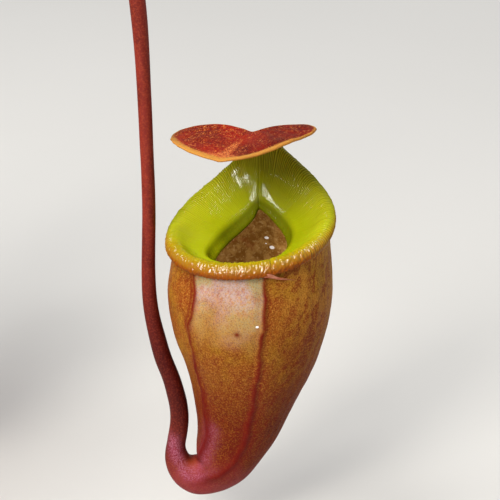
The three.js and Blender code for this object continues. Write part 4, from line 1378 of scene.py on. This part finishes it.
# The growing medium. Chunks of bark, grains of perlite and strands of moss, packed round the
# stem. The mass is one lumpy body in the pot, and its top layer lies loose on it.
MEDIUM_RADIUS, MEDIUM_EDGE, MEDIUM_LEVEL = 46.4, 82.6, 82.3
HEAP, HEAP_SPAN, EDGE_SINK, SINK_FROM = 1.3, 33, 1.5, 43
MEDIUM_PROFILE = [(0, 6.5), (30.5, 6.5), (32, 8), (43.2, 63), (46.2, 78), (46.4, 81.2)] + [
    (MEDIUM_RADIUS * (1 - step / 24), MEDIUM_EDGE) for step in range(25)]


def medium_height(x, y):
    """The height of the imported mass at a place, in millimetres."""
    heap = HEAP * sin(x / HEAP_SPAN * tau + 1) * cos(y / HEAP_SPAN * tau * 0.8 - 0.6)
    lumps = 0.9 * noise.noise(Vector((x / 5, y / 5, 0)))
    return MEDIUM_LEVEL + heap + lumps + 0.4 * noise.noise(Vector((x / 2, y / 2, 5)))


medium = turned(MEDIUM_PROFILE, 120)
for vert in medium.verts:
    x, y, z = vert.co / MM
    if z > MEDIUM_EDGE - 1:
        rim_drop = EDGE_SINK * max(0, (hypot(x, y) - SINK_FROM) / (MEDIUM_RADIUS - SINK_FROM))
        vert.co.z = (medium_height(x, y) - rim_drop) * MM

dice = random.Random(5)
CHIPS, PERLITES, STEM_CLEARANCE = 460, 120, 5.5
CHUNK_TILT, CHUNK_WIDTH = 0.5, 0.62


def chunk(heap, x, y, size, thick, corners, sink):
    """One angular or round grain: the hull of a few points, lying on the medium."""
    turn = Matrix.Rotation(dice.uniform(0, tau), 3, "Z")
    turn = turn @ Matrix.Rotation(dice.uniform(-CHUNK_TILT, CHUNK_TILT), 3, "X")
    middle = Vector((x, y, medium_height(x, y) + thick * sink))
    points = []
    for _ in range(corners):
        way = Vector((dice.gauss(0, 1), dice.gauss(0, 1), dice.gauss(0, 1))).normalized()
        place = turn @ Vector((way.x * size, way.y * size * CHUNK_WIDTH, way.z * thick))
        points.append(heap.verts.new((middle + place) * MM))
    made = bmesh.ops.convex_hull(heap, input=points)
    spare = {item for item in made["geom_interior"] + made["geom_unused"]
             if isinstance(item, bmesh.types.BMVert)}
    bmesh.ops.delete(heap, geom=list(spare), context="VERTS")


def scattered(radius_out, size):
    """A place on the medium, clear of the stem and of the pot's wall."""
    while True:
        radius = sqrt(dice.uniform(0, 1)) * radius_out
        if radius > STEM_CLEARANCE + size:
            angle = dice.uniform(0, tau)
            return radius * cos(angle), radius * sin(angle)


bark = Finish("bark", Roughness=0.85, Specular_IOR_Level=0.3)
fine = bark.grain(500, 4, 0.65, stretch=(1, 1, 2.5))
tone = bark.painted(
    (84, 54, 34), (bark.grain(130).step(0.3, 0.7), (142, 98, 62)),
    (fine.step(0.45, 0.7) * 0.6, (60, 38, 26)))
bark.feed(tone, fine, 0.8 * MM, Roughness=0.75 + 0.2 * fine)
grown(medium, "medium_mass", [bark], "bark_mix", "growing_medium")

chips = bmesh.new()
for _ in range(CHIPS):
    size = dice.uniform(1.8, 4.6)
    x, y = scattered(44.5 - size * 0.6, 0.3 * size)
    chunk(chips, x, y, size, dice.uniform(0.7, 1.5), 13, 0.25)
bmesh.ops.recalc_face_normals(chips, faces=chips.faces)
grown(chips, "bark_chips", [bark], "bark_mix").data.shade_flat()

perlite = Finish("perlite", Roughness=0.9, Subsurface_Weight=0.1, Subsurface_Scale=MM)
fine = perlite.grain(1500, 3)
perlite.feed(perlite.painted((206, 202, 192), (fine.step(0.3, 0.7), (236, 234, 228))),
             fine, 0.4 * MM)
grains = bmesh.new()
for _ in range(PERLITES):
    size = dice.uniform(0.9, 1.9)
    x, y = scattered(43.5, size)
    chunk(grains, x, y, size, size * 0.85, 16, 0.5)
bmesh.ops.recalc_face_normals(grains, faces=grains.faces)
grown(grains, "perlite_grains", [perlite], "bark_mix")

moss_finish = tissue("moss", Roughness=0.7)
fine = moss_finish.grain(700, 3)
moss_finish.feed(moss_finish.painted((118, 124, 52), (fine.step(0.3, 0.7), (172, 158, 96))))
STRANDS, STRAND_RINGS, STRAND_RADIUS, STRAND_STEP = 300, 7, 0.34, 1.1
moss = bmesh.new()
for _ in range(STRANDS):
    x, y = scattered(42.5, 1.5)
    turn, bend = dice.uniform(0, tau), dice.uniform(-0.5, 0.5)
    ring = None
    for step in range(STRAND_RINGS):
        z = medium_height(x, y) + 0.8 + 0.5 * sin(step * 0.9 + bend * 4)
        aim = Matrix.Rotation(turn, 4, "Z") @ Matrix.Rotation(pi / 2, 4, "Y")
        made = bmesh.ops.create_circle(
            moss, segments=4, radius=STRAND_RADIUS * (1 - step / 8) * MM,
            cap_ends=step in (0, STRAND_RINGS - 1),
            matrix=Matrix.Translation(Vector((x, y, z)) * MM) @ aim)
        edges = list({edge for vert in made["verts"] for edge in vert.link_edges})
        if ring:
            bmesh.ops.bridge_loops(moss, edges=ring + edges)
        ring = edges
        x, y = x + STRAND_STEP * cos(turn), y + STRAND_STEP * sin(turn)
        turn += bend
bmesh.ops.recalc_face_normals(moss, faces=moss.faces)
grown(moss, "moss_strands", [moss_finish], "bark_mix")
